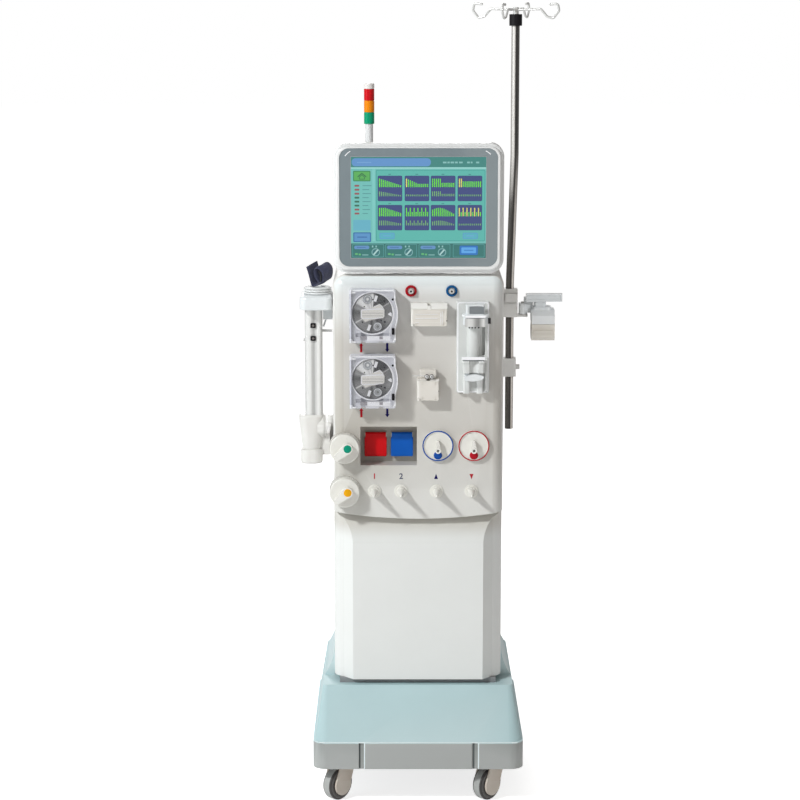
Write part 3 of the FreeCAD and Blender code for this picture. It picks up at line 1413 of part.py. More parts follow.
def dialyser_arm():
    """Swivelling arm: barrel on the clamp's pin, rail, curved neck and the fixed upper jaw."""
    x, y = holder_axis_x, pole_y
    barrel = rod_z(holder_barrel_radius, x, y, holder_bottom_z, holder_top_z)
    web = box(x + 2, jaw_left_x + 4, y - 7, y + 7, holder_bottom_z + 3, holder_top_z + 14)
    rail = box(x + 6, rail_end_x, y - 30, y - 14, rail_z, rail_z + rail_height)
    groove = box(x + 10, rail_end_x - 4, y - 31, y - 28, rail_z + 5, rail_z + rail_height - 5)
    bridge = box(x + 8, jaw_left_x + 10, y - 20, y + 7, holder_top_z + 4, rail_z + 6)
    neck = rounded_slab(jaw_left_x + 6, jaw_left_x + 34, y - 26, y + 8, 8, jaw_top_z - 4, rail_z + 4)
    collar = rounded_slab(jaw_left_x + 2, jaw_left_x + 46, y - 32, y + 12, 9, jaw_top_z - 1, jaw_top_z + 6)
    upper = prism_yz([(jaw_front_y, jaw_split_z + 0.4), (jaw_rear_y, jaw_split_z + 0.4),
                      (jaw_rear_y, jaw_top_z - 8), (jaw_rear_y - 10, jaw_top_z),
                      (jaw_front_y + 14, jaw_top_z), (jaw_front_y, jaw_top_z - 12)], jaw_left_x, jaw_right_x)
    upper = upper.cut(box(jaw_left_x - 1, jaw_right_x + 1, jaw_pin_y - 7.5, jaw_rear_y + 1,
                          jaw_split_z - 1, jaw_split_z + 8.5))
    for side in (-1, 1):
        edge_x = jaw_left_x if side < 0 else jaw_right_x
        x0, x1 = sorted((edge_x, edge_x - side * 7))
        upper = upper.fuse(rod_x(6.5, jaw_pin_y, jaw_split_z + 2, x0, x1))
        upper = upper.fuse(box(x0, x1, jaw_pin_y - 6.5, jaw_pin_y + 6.5, jaw_split_z + 2, jaw_split_z + 12))
    pin = rod_x(jaw_pin_radius, jaw_pin_y, jaw_split_z + 2, jaw_left_x + 1, jaw_right_x - 1)
    body = fuse([barrel, web, rail.cut(groove), bridge, neck, collar, upper])
    tools = [rod_z(holder_pin_radius + running_fit, x, y, holder_bottom_z - 1, holder_top_z + 3.6),
             rod_x(jaw_groove_radius, jaw_groove_y, jaw_split_z, jaw_left_x - 1, jaw_right_x + 1)]
    return fuse([cut(body, tools), pin])


def dialyser_jaw():
    """Lower jaw that hinges down behind to let the filter in."""
    low = jaw_bottom_z
    top = jaw_split_z
    block = prism_yz([(jaw_front_y + 6, low), (jaw_rear_y - 16, low), (jaw_rear_y - 4, low + 14),
                      (jaw_rear_y - 4, top - 7), (jaw_pin_y - 8, top - 7), (jaw_pin_y - 8, top - 0.4),
                      (jaw_front_y, top - 0.4), (jaw_front_y, low + 10)], jaw_left_x, jaw_right_x)
    block = block.cut(rod_x(jaw_groove_radius, jaw_groove_y, jaw_split_z, jaw_left_x - 1, jaw_right_x + 1))
    x0 = jaw_left_x + 7.4
    x1 = jaw_right_x - 7.4
    barrel = rod_x(6.0, jaw_pin_y, jaw_split_z + 2, x0, x1)
    web = box(x0, x1, jaw_pin_y - 5, jaw_pin_y + 5, top - 9, jaw_split_z + 2)
    keep = box(jaw_left_x - 1, x0, jaw_pin_y - 7.4, jaw_rear_y + 1, top - 8, top + 10)
    keep_right = box(x1, jaw_right_x + 1, jaw_pin_y - 7.4, jaw_rear_y + 1, top - 8, top + 10)
    body = fuse([block.cut(keep).cut(keep_right), barrel, web])
    lip = box(jaw_left_x + 4, jaw_right_x - 4, jaw_front_y - 5, jaw_front_y + 1, low + 18, low + 24)
    bore = rod_x(jaw_pin_radius + running_fit, jaw_pin_y, jaw_split_z + 2, jaw_left_x - 1, jaw_right_x + 1)
    return fuse([body, lip]).cut(bore)


def side_arm_bracket():
    """Hinge plate on the cabinet's left side: two knuckles and the pin."""
    plate = rounded_slab(-half_width - 3, -half_width, arm_axis_y - 22, arm_axis_y + 26, 1,
                         arm_link_bottom_z - 22, arm_link_top_z + 22)
    parts = [plate]
    knuckles = ((arm_link_bottom_z - 18, arm_link_bottom_z - 0.4), (arm_link_top_z + 0.4, arm_link_top_z + 18))
    for z0, z1 in knuckles:
        parts.append(rod_z(arm_barrel_radius, arm_axis_x, arm_axis_y, z0, z1))
        parts.append(box(arm_axis_x, -half_width - 1, arm_axis_y - 6, arm_axis_y + 8, z0, z1))
    parts.append(rod_z(arm_pin_radius, arm_axis_x, arm_axis_y, arm_link_bottom_z - 17, arm_link_top_z + 17))
    return fuse(parts)


def arm_elbow():
    """White elbow: swivel cup, seam ring, upper housing, side disc and the link to the hinge."""
    x, y = column_arm_x - 6, column_arm_y
    low = rounded_slab(x - elbow_low_half, x + elbow_low_half, y - elbow_low_half, y + elbow_low_half, 20,
                       elbow_bottom_z, elbow_seam_z - 1)
    low = soften(low, 5.0, edge_in_plane("Z", elbow_bottom_z))
    seam = rod_z(elbow_low_half - 4, x, y, elbow_seam_z - 2, elbow_seam_z + 1.5)
    base = slab_wire(x - 21, x + 21, y - 21, y + 21, 19, elbow_seam_z + 0.8)
    waist = slab_wire(x - 25, x + 26, y - 25, y + 25, 21, elbow_seam_z + 35)
    crown = slab_wire(x - elbow_top_half, x + elbow_top_half, y - 28, y + 28, 22, column_arm_bottom_z - 8)
    upper = Part.makeLoft([base, waist, crown], True, False)
    cap = rounded_slab(x - elbow_top_half, x + elbow_top_half, y - 28, y + 28, 22, column_arm_bottom_z - 8,
                       column_arm_bottom_z + 2)
    cap = soften(cap, 5.0, edge_in_plane("Z", column_arm_bottom_z + 2))
    disc_z = column_arm_bottom_z - 26
    disc = rod_x(27, y, disc_z, x + 14, x + elbow_top_half + 4)
    disc = disc.cut(rod_x(28, y, disc_z, x + elbow_top_half, x + elbow_top_half + 1.6).cut(
        rod_x(24, y, disc_z, x + elbow_top_half - 1, x + elbow_top_half + 3)))
    link = box(x + 18, arm_axis_x + 1, y - 8, arm_axis_y - 2, arm_link_bottom_z, arm_link_top_z)
    link = link.cut(prism_yz([(y + 12, arm_link_bottom_z + 9), (arm_axis_y - 22, arm_link_bottom_z + 9),
                              (arm_axis_y - 22, arm_link_top_z - 9), (y + 12, arm_link_top_z - 9)],
                             arm_axis_x - 60, arm_axis_x - 8))
    barrel = rod_z(arm_barrel_radius, arm_axis_x, arm_axis_y, arm_link_bottom_z, arm_link_top_z)
    join = box(x + 18, arm_axis_x + 5, arm_axis_y - 7, arm_axis_y + 3, arm_link_bottom_z, arm_link_top_z)
    body = fuse([low, seam, upper, cap, disc, link, barrel, join])
    pocket = column_profile(column_arm_bottom_z - 20, column_arm_bottom_z + 5, 0.0)
    bore = rod_z(arm_pin_radius + running_fit, arm_axis_x, arm_axis_y, arm_link_bottom_z - 1,
                 arm_link_top_z + 1)
    return cut(body, [pocket, bore])


def column_profile(z0, z1, grow):
    half = column_arm_size / 2 + grow
    return rounded_slab(column_arm_x - half, column_arm_x + half, column_arm_y - half, column_arm_y + half,
                        9, z0, z1)


def arm_column():
    """Extruded aluminium column with a shallow front channel, two caps, strut and stay pin."""
    body = column_profile(column_arm_bottom_z - 20, tray_bottom_z, 0.0)
    front = column_arm_y - column_arm_size / 2
    body = body.cut(rod_z(14, column_arm_x, front - 13, column_arm_bottom_z + 3, tray_bottom_z - 8))
    core = rounded_slab(column_arm_x - 15, column_arm_x + 15, column_arm_y - 13, column_arm_y + 15, 6,
                        column_arm_bottom_z - 21, tray_bottom_z - 6)
    parts = [body.cut(core)]
    for z in (1073, 1044):
        parts.append(rounded_plate(column_arm_x - 5.5, column_arm_x + 5.5, z - 5, z + 5, 2,
                                   front - 1, front + 8))
    side = column_arm_x + column_arm_size / 2
    parts.append(rod_x(3.0, column_arm_y, 1063, side - 1, tray_right_x - 2))
    left = column_arm_x - column_arm_size / 2
    parts.append(rod_x(3.5, column_arm_y, 1042, left - 3.5, left + 1))
    return fuse(parts)


def side_shelf():
    """Tray with a rounded outer end and a low rim, its strut and its under-block."""
    body = rounded_slab(tray_left_x, tray_right_x, tray_front_y, tray_rear_y, 16, tray_bottom_z, tray_top_z)
    top = edge_in_plane("Z", tray_top_z)
    body = soften(body, 8.0, top)
    body = soften(body, 3.0, edge_in_plane("Z", tray_bottom_z))
    block = box(column_arm_x + column_arm_size / 2 + 2, tray_right_x - 1, column_arm_y - 8, column_arm_y + 22,
                tray_bottom_z - 28, tray_bottom_z + 1)
    strut = rod(2.0, vec(column_arm_x + column_arm_size / 2 + 2.6, column_arm_y + 4, tray_bottom_z - 46),
                vec(tray_right_x - 14, column_arm_y + 4, tray_bottom_z - 24))
    start = hose_route()[0]
    socket = rod_x(hose_socket_radius, start.y, start.z, start.x, start.x + hose_socket_length)
    return fuse([body, block, strut, socket])


def hose_floor_z():
    return tray_top_z + hose_clearance


def cuff_hose_coil():
    """The wound part of the cuff's air hose, as the outer shape of its turns."""
    z0 = hose_floor_z()
    ring = rod_z(coil_outer_radius, coil_x, coil_y, z0, z0 + coil_height)
    ring = ring.cut(rod_z(coil_inner_radius, coil_x, coil_y, z0 - 1, z0 + coil_height + 1))
    return soften(ring, 2.4, lambda e: isinstance(e.Curve, Part.Circle))


def hose_route():
    """Corners of the free hose, lying on the tray from its socket to the outside of the coil."""
    z = hose_floor_z() + hose_radius
    places = [(-219, -34), (-237, -34), (-252.6, -43), (-261.6, -58.6), (-261.6, -76.6)]
    return [vec(x, y, z) for x, y in places]


def cuff_hose_lead():
    return swept(rounded_path(hose_route()), hose_radius)


def cuff():
    """Folded arm cuff standing in the hose coil: two leaning leaves joined at the foot."""
    z0 = hose_floor_z() + coil_height + cuff_clearance
    half = cuff_width / 2
    outline = [(-half + 8, z0), (half - 8, z0), (half, z0 + 26), (half - 8, z0 + cuff_height),
               (3, z0 + cuff_height - 4), (0, z0 + cuff_height - 22), (-4, z0 + cuff_height - 2),
               (-half - 2, z0 + cuff_height - 9)]
    shape = prism_xz([(coil_x + x, z) for x, z in outline], coil_y - cuff_thickness / 2,
                     coil_y + cuff_thickness / 2)
    return soften(shape, 3.0, edge_in_plane("Y", coil_y - cuff_thickness / 2))


def hydraulic_modules():
    """Fluid side: degassing chambers, heater, gear pumps and manifold on the lower shelf."""
    z = hydraulic_shelf_z + shelf_thickness
    solids = []
    chamber_top = z + 200
    for x in (-105, -50):
        chamber = rod_z(23, x, 90, z, chamber_top)
        chamber = soften(chamber, 5, edge_in_plane("Z", chamber_top))
        solids.append(chamber.fuse(rod_z(6, x, 90, chamber_top - 1, chamber_top + 25)).removeSplitter())
    heater = rod_z(30, 30, 80, z, z + 240)
    solids.append(heater.fuse(rod_z(36, 30, 80, z, z + 10)).removeSplitter())
    for x in (-110, -40):
        pump = rod_y(22, x, z + 30, -80, -10).fuse(box(x - 24, x + 24, -60, -30, z, z + 20))
        solids.append(pump.fuse(rod_y(14, x, z + 30, -95, -79)).removeSplitter())
    manifold = box(20, 140, -95, -35, z, z + 150)
    ports = [rod_z(6, x, -65, z + 140, z + 170) for x in (40, 65, 90, 115)]
    solids.append(fuse([manifold] + ports))
    tank = rounded_slab(85, 145, 20, 130, 10, z, z + 260)
    solids.append(tank)
    return group(solids)


def electronic_modules():
    """Electronics on the upper shelf: power supply, board rack, fan and driver boards."""
    z = electronic_shelf_z + shelf_thickness
    supply = box(-140, -20, 20, 140, z, z + 90)
    rack = [box(10, 145, 20, 24, z, z + 200), box(10, 145, 20, 140, z, z + 4),
            box(10, 145, 20, 140, z + 196, z + 200)]
    for k in range(6):
        y = 40 + k * 18
        rack.append(box(14, 141, y, y + 1.6, z + 3, z + 197))
    fan = box(-120, -30, 60, 85, z + 90, z + 180).cut(rod_y(40, -75, z + 135, 55, 90))
    hub = rod_y(15, -75, z + 135, 60, 85)
    blades = []
    for k in range(5):
        blade = box(-77, -73, 64, 81, z + 135, z + 176)
        blade.rotate(vec(-75, 72, z + 135), vec(0, 1, 0), 72 * k)
        blades.append(blade)
    return group([supply, fuse(rack), fuse([fan, hub] + blades)])


def build_casters():
    names = ("front_left", "front_right", "rear_left", "rear_right")
    for name, place, yaw in zip(names, caster_places(), caster_yaws()):
        in_front = name.startswith("front")
        save("caster_fork_" + name, placed(caster_fork(in_front), *place, yaw))
        save("caster_wheel_" + name, placed(caster_wheel(), *place, yaw))
        if in_front:
            save("brake_pedal_" + name, placed(brake_pedal(), *place, yaw))


def build_pumps():
    for name, centre_z in (("upper", pump_upper_z), ("lower", pump_lower_z)):
        save("pump_head_" + name, pump_head(centre_z))
        save("pump_rotor_" + name, pump_rotor(centre_z))
        save("pump_door_" + name, pump_door(centre_z))
        for side, place in zip(("a", "b"), roller_places(centre_z)):
            save("pump_roller_" + name + "_" + side, pump_roller(*place))


def build_all():
    save("base_cover", base_cover())
    save("chassis_frame", chassis_frame())
    save("front_panel", front_panel())
    save("lower_panel", lower_panel())
    save("rear_housing", rear_housing())
    save("service_cover", service_cover())
    save("rear_fittings", rear_fittings())
    save("hydraulic_modules", hydraulic_modules())
    save("electronic_modules", electronic_modules())
    build_casters()
    build_pumps()
    save("pressure_ports", pressure_ports())
    save("air_detector", sensor_body(*detector_box()))
    save("air_detector_door", sensor_door(*detector_box(), 3))
    save("line_clamp", line_clamp())
    save("line_clamp_door", sensor_door(*clamp_box(), 0))
    save("syringe_pump_body", syringe_pump_body())
    save("syringe_carriage", syringe_carriage())
    save("carriage_release", carriage_release())
    save("barrel_clamp", barrel_clamp())
    save("concentrate_flap_red", concentrate_flap(flap_red_x))
    save("concentrate_flap_blue", concentrate_flap(flap_blue_x))
    save("coupling_ports", coupling_ports())
    save("fluid_ports", fluid_ports())
    save("selector_knob_upper", selector_knob(knob_upper_z))
    save("selector_knob_lower", selector_knob(knob_lower_z))
    save("monitor_housing", monitor_housing())
    save("monitor_glass", monitor_glass())
    save("monitor_bracket", monitor_bracket())
    save("signal_tower", signal_tower())
    save("iv_pole", iv_pole())
    save("hook_head", hook_head())
    save("pole_clamps", pole_clamps())
    save("dialyser_arm", dialyser_arm())
    save("dialyser_jaw", dialyser_jaw())
    save("side_arm_bracket", side_arm_bracket())
    save("arm_elbow", arm_elbow())
    save("arm_column", arm_column())
    save("side_shelf", side_shelf())
    save("cuff", cuff())
    save("cuff_hose_coil", cuff_hose_coil())
    save("cuff_hose_lead", cuff_hose_lead())


build_all()
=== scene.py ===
# %% [markdown]
# # A dialysis machine on wheels
# The machine is a tall white cabinet on a wheeled base. Its solids come ready made, so this notebook gives
# them their finishes and adds what a moulding tool or a printer would add: rings, arrows, the screen's picture,
# screws, hub caps, the folded cuff and its hose. Every size is in metres and taken from the solids.

# %% Load the solids
import bpy
import bmesh
import json
import math
from mathutils import Matrix, Vector


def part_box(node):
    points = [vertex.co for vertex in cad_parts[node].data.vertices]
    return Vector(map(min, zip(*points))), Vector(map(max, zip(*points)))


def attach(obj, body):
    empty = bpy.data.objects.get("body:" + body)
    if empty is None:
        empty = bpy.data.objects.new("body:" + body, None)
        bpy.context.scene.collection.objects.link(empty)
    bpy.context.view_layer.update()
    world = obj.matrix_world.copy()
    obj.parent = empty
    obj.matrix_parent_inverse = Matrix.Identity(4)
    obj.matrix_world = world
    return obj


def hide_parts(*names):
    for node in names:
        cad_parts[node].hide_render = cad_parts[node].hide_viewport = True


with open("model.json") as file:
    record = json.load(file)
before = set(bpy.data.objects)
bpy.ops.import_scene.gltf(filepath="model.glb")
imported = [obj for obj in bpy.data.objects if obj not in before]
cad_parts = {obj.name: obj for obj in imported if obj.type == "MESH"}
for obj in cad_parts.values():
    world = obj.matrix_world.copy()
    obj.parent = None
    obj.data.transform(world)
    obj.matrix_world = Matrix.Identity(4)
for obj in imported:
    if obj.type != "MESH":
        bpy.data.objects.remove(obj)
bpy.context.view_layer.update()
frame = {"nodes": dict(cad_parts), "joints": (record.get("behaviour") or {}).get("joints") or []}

MM = 0.001
JOINTS = {joint["name"]: joint for joint in frame["joints"]}
NODES = frame["nodes"]
scene = bpy.context.scene

# %% [markdown]
# ## The camera
# The picture was taken from about chest height with a long lens, looking ten degrees down. A long lens from far
# away keeps the cabinet's sides nearly parallel, which is why the machine looks so upright.

# %% Camera
camera_data = bpy.data.cameras.new("camera")
camera_data.sensor_width = 36.0
camera_data.lens = 108.0
camera = bpy.data.objects.new("camera", camera_data)
camera.location = (-0.0415, -5.578, 1.868)
camera.rotation_euler = (math.radians(80.0), 0.0, 0.0)
scene.collection.objects.link(camera)
scene.camera = camera

# %% [markdown]
# ## Shared helpers
# A piece is built with bmesh, cleaned, shaded smooth except at its real edges, and handed to the body that
# carries it. `lathe` turns a profile round an axis, `plate` cuts a flat outline, and `at` reads a joint's place.

# %% Piece helpers
AXES = {"x": Vector((1, 0, 0)), "y": Vector((0, 1, 0)), "z": Vector((0, 0, 1))}


def at(joint):
    return Vector(JOINTS[joint]["pos_m"])


def hand_over(obj, body, edge_angle=35.0):
    obj.data.set_sharp_from_angle(angle=math.radians(edge_angle))
    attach(obj, body)
    return obj


def piece(bm, name, materials, body, edge_angle=35.0):
    """Clean a bmesh and make it a named piece on its body."""
    bmesh.ops.remove_doubles(bm, verts=bm.verts, dist=1e-6)
    bmesh.ops.recalc_face_normals(bm, faces=bm.faces)
    mesh = bpy.data.meshes.new(name)
    bm.to_mesh(mesh)
    bm.free()
    for polygon in mesh.polygons:
        polygon.use_smooth = True
    for material in materials if isinstance(materials, (list, tuple)) else [materials]:
        mesh.materials.append(material)
    obj = bpy.data.objects.new(name, mesh)
    scene.collection.objects.link(obj)
    return hand_over(obj, body, edge_angle)


def lathe(bm, profile, origin, axis="y", steps=48, material=0):
    """Turn (radius, distance) points in millimetres round an axis through origin; the ends close on it."""
    along = AXES[axis] if isinstance(axis, str) else Vector(axis).normalized()
    side = along.orthogonal().normalized()
    other = along.cross(side)
    rings = []
    for radius, distance in profile:
        base = Vector(origin) + along * distance * MM
        if radius == 0:
            rings.append([bm.verts.new(base)])
            continue
        ring = []
        for k in range(steps):
            angle = 2 * math.pi * k / steps
            ring.append(bm.verts.new(base + (side * math.cos(angle) + other * math.sin(angle)) * radius * MM))
        rings.append(ring)
    for first, second in zip(rings, rings[1:]):
        for k in range(steps):
            a, b = first[k % len(first)], first[(k + 1) % len(first)]
            c, d = second[(k + 1) % len(second)], second[k % len(second)]
            corners = [v for i, v in enumerate((a, b, c, d)) if v not in (a, b, c, d)[:i]]
            if len(corners) > 2:
                bm.faces.new(corners).material_index = material
    return bm


def plate(bm, outline, y_front, y_back, material=0):
    """Extrude an (x, z) outline between two depths."""
    front = [bm.verts.new((x, y_front, z)) for x, z in outline]
    back = [bm.verts.new((x, y_back, z)) for x, z in outline]
    faces = [bm.faces.new(front), bm.faces.new(list(reversed(back)))]
    for k in range(len(outline)):
        n = (k + 1) % len(outline)
        faces.append(bm.faces.new((front[k], back[k], back[n], front[n])))
    for face in faces:
        face.material_index = material
    return bm


def rounded_rect(x0, x1, z0, z1, radius, steps=6):
    outline = []
    corners = ((x1 - radius, z0 + radius, -90), (x1 - radius, z1 - radius, 0),
               (x0 + radius, z1 - radius, 90), (x0 + radius, z0 + radius, 180))
    for cx, cz, start in corners:
        for k in range(steps + 1):
            angle = math.radians(start + 90.0 * k / steps)
            outline.append((cx + radius * math.cos(angle), cz + radius * math.sin(angle)))
    return outline


def pad(bm, x0, x1, z0, z1, radius, y_front, y_back, material=0, steps=6):
    """A plate with rounded corners, its outline in millimetres."""
    outline = [(x * MM, z * MM) for x, z in rounded_rect(x0, x1, z0, z1, radius, steps)]
    return plate(bm, outline, y_front, y_back, material)


def strip(bm, line, width, y_front, y_back, material=0):
    """A raised bead of even width along an (x, z) line."""
    left, right = [], []
    for k, (x, z) in enumerate(line):
        a, b = line[max(k - 1, 0)], line[min(k + 1, len(line) - 1)]
        along = Vector((b[0] - a[0], b[1] - a[1])).normalized() * width / 2
        left.append((x - along.y, z + along.x))
        right.append((x + along.y, z - along.x))
    return plate(bm, left + right[::-1], y_front, y_back, material)


def turned(outline, x, z, degrees):
    """The outline moved to (x, z) and turned there, clockwise as the viewer sees it."""
    c, s = math.cos(math.radians(degrees)), math.sin(math.radians(degrees))
    return [(x + u * c + v * s, z + v * c - u * s) for u, v in outline]


def block(bm, x0, x1, y0, y1, z0, z1, bevel=0.0, material=0):
    made = bmesh.ops.create_cube(bm, size=1.0)["verts"]
    for v in made:
        v.co = Vector(((x0 + x1) / 2 + v.co.x * (x1 - x0), (y0 + y1) / 2 + v.co.y * (y1 - y0),
                       (z0 + z1) / 2 + v.co.z * (z1 - z0)))
    faces = {f for v in made for f in v.link_faces}
    for face in faces:
        face.material_index = material
    if bevel:
        edges = list({e for v in made for e in v.link_edges})
        bmesh.ops.bevel(bm, geom=edges, offset=bevel, segments=3, profile=0.5, affect="EDGES")
    return bm


# %% [markdown]
# ## Shared surface effects
# Nearly every finish on a machine like this is one of three things: moulded or painted plastic with a very fine
# grain, metal drawn or brushed in one direction, or woven cloth. Each is a node group, so a material only says
# how coarse and how strong it wants the effect.

# %% Node group helpers
def sockets(tree, inputs, outputs):
    for name, kind, value in inputs:
        socket = tree.interface.new_socket(name=name, in_out="INPUT", socket_type="NodeSocket" + kind)
        if value is not None:
            socket.default_value = value
    for name, kind in outputs:
        tree.interface.new_socket(name=name, in_out="OUTPUT", socket_type="NodeSocket" + kind)
    return tree.nodes.new("NodeGroupInput"), tree.nodes.new("NodeGroupOutput")


def add(tree, kind, **settings):
    node = tree.nodes.new(kind)
    for key, value in settings.items():
        if key in node.bl_rna.properties:
            setattr(node, key, value)
        else:
            node.inputs[key.replace("_", " ")].default_value = value
    return node


def wire(tree, *pairs):
    for source, target in pairs:
        tree.links.new(source, target)


def arithmetic(tree, operation, first, second, clamp=False):
    node = tree.nodes.new("ShaderNodeMath")
    node.operation = operation
    node.use_clamp = clamp
    for socket, value in zip(node.inputs, (first, second)):
        if isinstance(value, (int, float)):
            socket.default_value = value
        else:
            tree.links.new(value, socket)
    return node.outputs[0]


def blended(tree, factor, first, second, blend="MIX"):
    node = tree.nodes.new("ShaderNodeMix")
    node.data_type = "RGBA"
    node.blend_type = blend
    for socket, value in ((node.inputs[0], factor), (node.inputs[6], first), (node.inputs[7], second)):
        if isinstance(value, (int, float, tuple)):
            socket.default_value = value
        else:
            tree.links.new(value, socket)
    return node.outputs[2]


def part_of(tree, kind):
    return next(n for n in tree.nodes if n.type == kind)


# %% [markdown]
# ### Moulded skin
# Three layers: a large soft mottle that keeps big panels from looking like one flat fill, a fine spark texture
# in the bump, and slightly lighter edges found from the surface's pointiness, which are a painted highlight.

# %% Moulded skin group
moulded = bpy.data.node_groups.new("moulded skin", "ShaderNodeTree")
gin, gout = sockets(moulded, [("Vector", "Vector", None), ("Colour", "Color", None), ("Shade", "Color", None),
                              ("Mottle Scale", "Float", 9.0), ("Grain Scale", "Float", 1400.0),
                              ("Grain Depth", "Float", 0.05), ("Gloss", "Float", 0.35),
                              ("Edge Light", "Float", 0.25)],
                    [("Color", "Color"), ("Roughness", "Float"), ("Normal", "Vector")])
soft = add(moulded, "ShaderNodeTexNoise", Scale=9.0, Detail=4.0, Roughness=0.6)
fine = add(moulded, "ShaderNodeTexNoise", Scale=1400.0, Detail=2.0, Roughness=0.5)
smear = add(moulded, "ShaderNodeTexNoise", Scale=60.0, Detail=5.0, Roughness=0.65)
edge = add(moulded, "ShaderNodeNewGeometry")
edge_highlight_ramp = add(moulded, "ShaderNodeMapRange")
edge_highlight_ramp.inputs[1].default_value = 0.52
edge_highlight_ramp.inputs[2].default_value = 0.62
bump = add(moulded, "ShaderNodeBump", Distance=0.0004)
wire(moulded, (gin.outputs["Vector"], soft.inputs["Vector"]), (gin.outputs["Mottle Scale"], soft.inputs["Scale"]),
     (gin.outputs["Vector"], fine.inputs["Vector"]), (gin.outputs["Grain Scale"], fine.inputs["Scale"]),
     (gin.outputs["Vector"], smear.inputs["Vector"]), (edge.outputs["Pointiness"], edge_highlight_ramp.inputs[0]),
     (gin.outputs["Grain Depth"], bump.inputs["Strength"]), (fine.outputs[0], bump.inputs["Height"]))
mottle = arithmetic(moulded, "MULTIPLY_ADD", soft.outputs[0], 1.6)
moulded.nodes[-1].inputs[2].default_value = -0.3
moulded.nodes[-1].use_clamp = True
tone = blended(moulded, mottle, gin.outputs["Colour"], gin.outputs["Shade"])
# lighter convex edges, found from pointiness: a painted edge highlight
edge_highlight_amount = arithmetic(moulded, "MULTIPLY", edge_highlight_ramp.outputs[0], gin.outputs["Edge Light"])
lit = blended(moulded, edge_highlight_amount, tone, (1.0, 1.0, 1.0, 1.0))
rough = arithmetic(moulded, "MULTIPLY_ADD", smear.outputs[0], 0.16)
moulded.nodes[-1].inputs[2].default_value = -0.08
wire(moulded, (lit, gout.inputs["Color"]),
     (arithmetic(moulded, "ADD", gin.outputs["Gloss"], rough, clamp=True), gout.inputs["Roughness"]),
     (bump.outputs[0], gout.inputs["Normal"]))

# %% [markdown]
# ### Drawn metal
# Drawing or brushing leaves scratches along one direction, so the noise is stretched: many cells across the
# part and few along it.

# %% Drawn metal group
drawn = bpy.data.node_groups.new("drawn metal", "ShaderNodeTree")
gin, gout = sockets(drawn, [("Vector", "Vector", None), ("Colour", "Color", None), ("Shade", "Color", None),
                            ("Stretch", "Vector", (900.0, 900.0, 9.0)), ("Depth", "Float", 0.08),
                            ("Gloss", "Float", 0.22)],
                    [("Color", "Color"), ("Roughness", "Float"), ("Normal", "Vector")])
stretch = add(drawn, "ShaderNodeVectorMath", operation="MULTIPLY")
lines = add(drawn, "ShaderNodeTexNoise", Scale=1.0, Detail=3.0, Roughness=0.7)
cloud = add(drawn, "ShaderNodeTexNoise", Scale=14.0, Detail=3.0)
bump = add(drawn, "ShaderNodeBump", Distance=0.0002)
wire(drawn, (gin.outputs["Vector"], stretch.inputs[0]), (gin.outputs["Stretch"], stretch.inputs[1]),
     (stretch.outputs[0], lines.inputs["Vector"]), (gin.outputs["Vector"], cloud.inputs["Vector"]),
     (gin.outputs["Depth"], bump.inputs["Strength"]), (lines.outputs[0], bump.inputs["Height"]))
streak = arithmetic(drawn, "MULTIPLY", arithmetic(drawn, "ADD", lines.outputs[0], cloud.outputs[0]), 0.5)
rough = arithmetic(drawn, "MULTIPLY_ADD", lines.outputs[0], 0.2)
drawn.nodes[-1].inputs[2].default_value = -0.1
wire(drawn, (blended(drawn, streak, gin.outputs["Colour"], gin.outputs["Shade"]), gout.inputs["Color"]),
     (arithmetic(drawn, "ADD", gin.outputs["Gloss"], rough, clamp=True), gout.inputs["Roughness"]),
     (bump.outputs[0], gout.inputs["Normal"]))

# %% [markdown]
# ### Woven cloth
# Two sets of waves at right angles, one for the warp and one for the weft, multiplied so each thread has a
# rounded crown. A little noise breaks the rows so they do not read as a printed grid.

# %% Woven cloth group
woven = bpy.data.node_groups.new("woven cloth", "ShaderNodeTree")
gin, gout = sockets(woven, [("Vector", "Vector", None), ("Colour", "Color", None), ("Shade", "Color", None),
                            ("Threads", "Float", 900.0), ("Depth", "Float", 0.4)],
                    [("Color", "Color"), ("Roughness", "Float"), ("Normal", "Vector")])
warp = add(woven, "ShaderNodeTexWave", wave_type="BANDS", bands_direction="X", Distortion=1.2)
weft = add(woven, "ShaderNodeTexWave", wave_type="BANDS", bands_direction="Z", Distortion=1.2)
worn = add(woven, "ShaderNodeTexNoise", Scale=70.0, Detail=4.0)
bump = add(woven, "ShaderNodeBump", Distance=0.0006)
wire(woven, (gin.outputs["Vector"], warp.inputs["Vector"]), (gin.outputs["Vector"], weft.inputs["Vector"]),
     (gin.outputs["Threads"], warp.inputs["Scale"]), (gin.outputs["Threads"], weft.inputs["Scale"]),
     (gin.outputs["Vector"], worn.inputs["Vector"]), (gin.outputs["Depth"], bump.inputs["Strength"]))
thread = arithmetic(woven, "MULTIPLY", warp.outputs[1], weft.outputs[1])
wire(woven, (thread, bump.inputs["Height"]))
dust = arithmetic(woven, "MULTIPLY", arithmetic(woven, "ADD", thread, worn.outputs[0]), 0.55)
wire(woven, (blended(woven, dust, gin.outputs["Colour"], gin.outputs["Shade"]), gout.inputs["Color"]),
     (arithmetic(woven, "MULTIPLY_ADD", worn.outputs[0], 0.2), gout.inputs["Roughness"]),
     (bump.outputs[0], gout.inputs["Normal"]))
woven.nodes["Math.003"].inputs[2].default_value = 0.62
print("shared effects:", [group.name for group in (moulded, drawn, woven)])

# %% [markdown]
# ### Making a material
# Colours are written as they look on a screen, 0 to 255, and turned into the linear values that shaders use.
# One function builds a moulded finish, one a metal, one a cloth.

# %% Material helpers
def linear(red, green, blue):
    values = []
    for channel in (red, green, blue):
        share = channel / 255.0
        values.append(share / 12.92 if share <= 0.04045 else ((share + 0.055) / 1.055) ** 2.4)
    return (*values, 1.0)


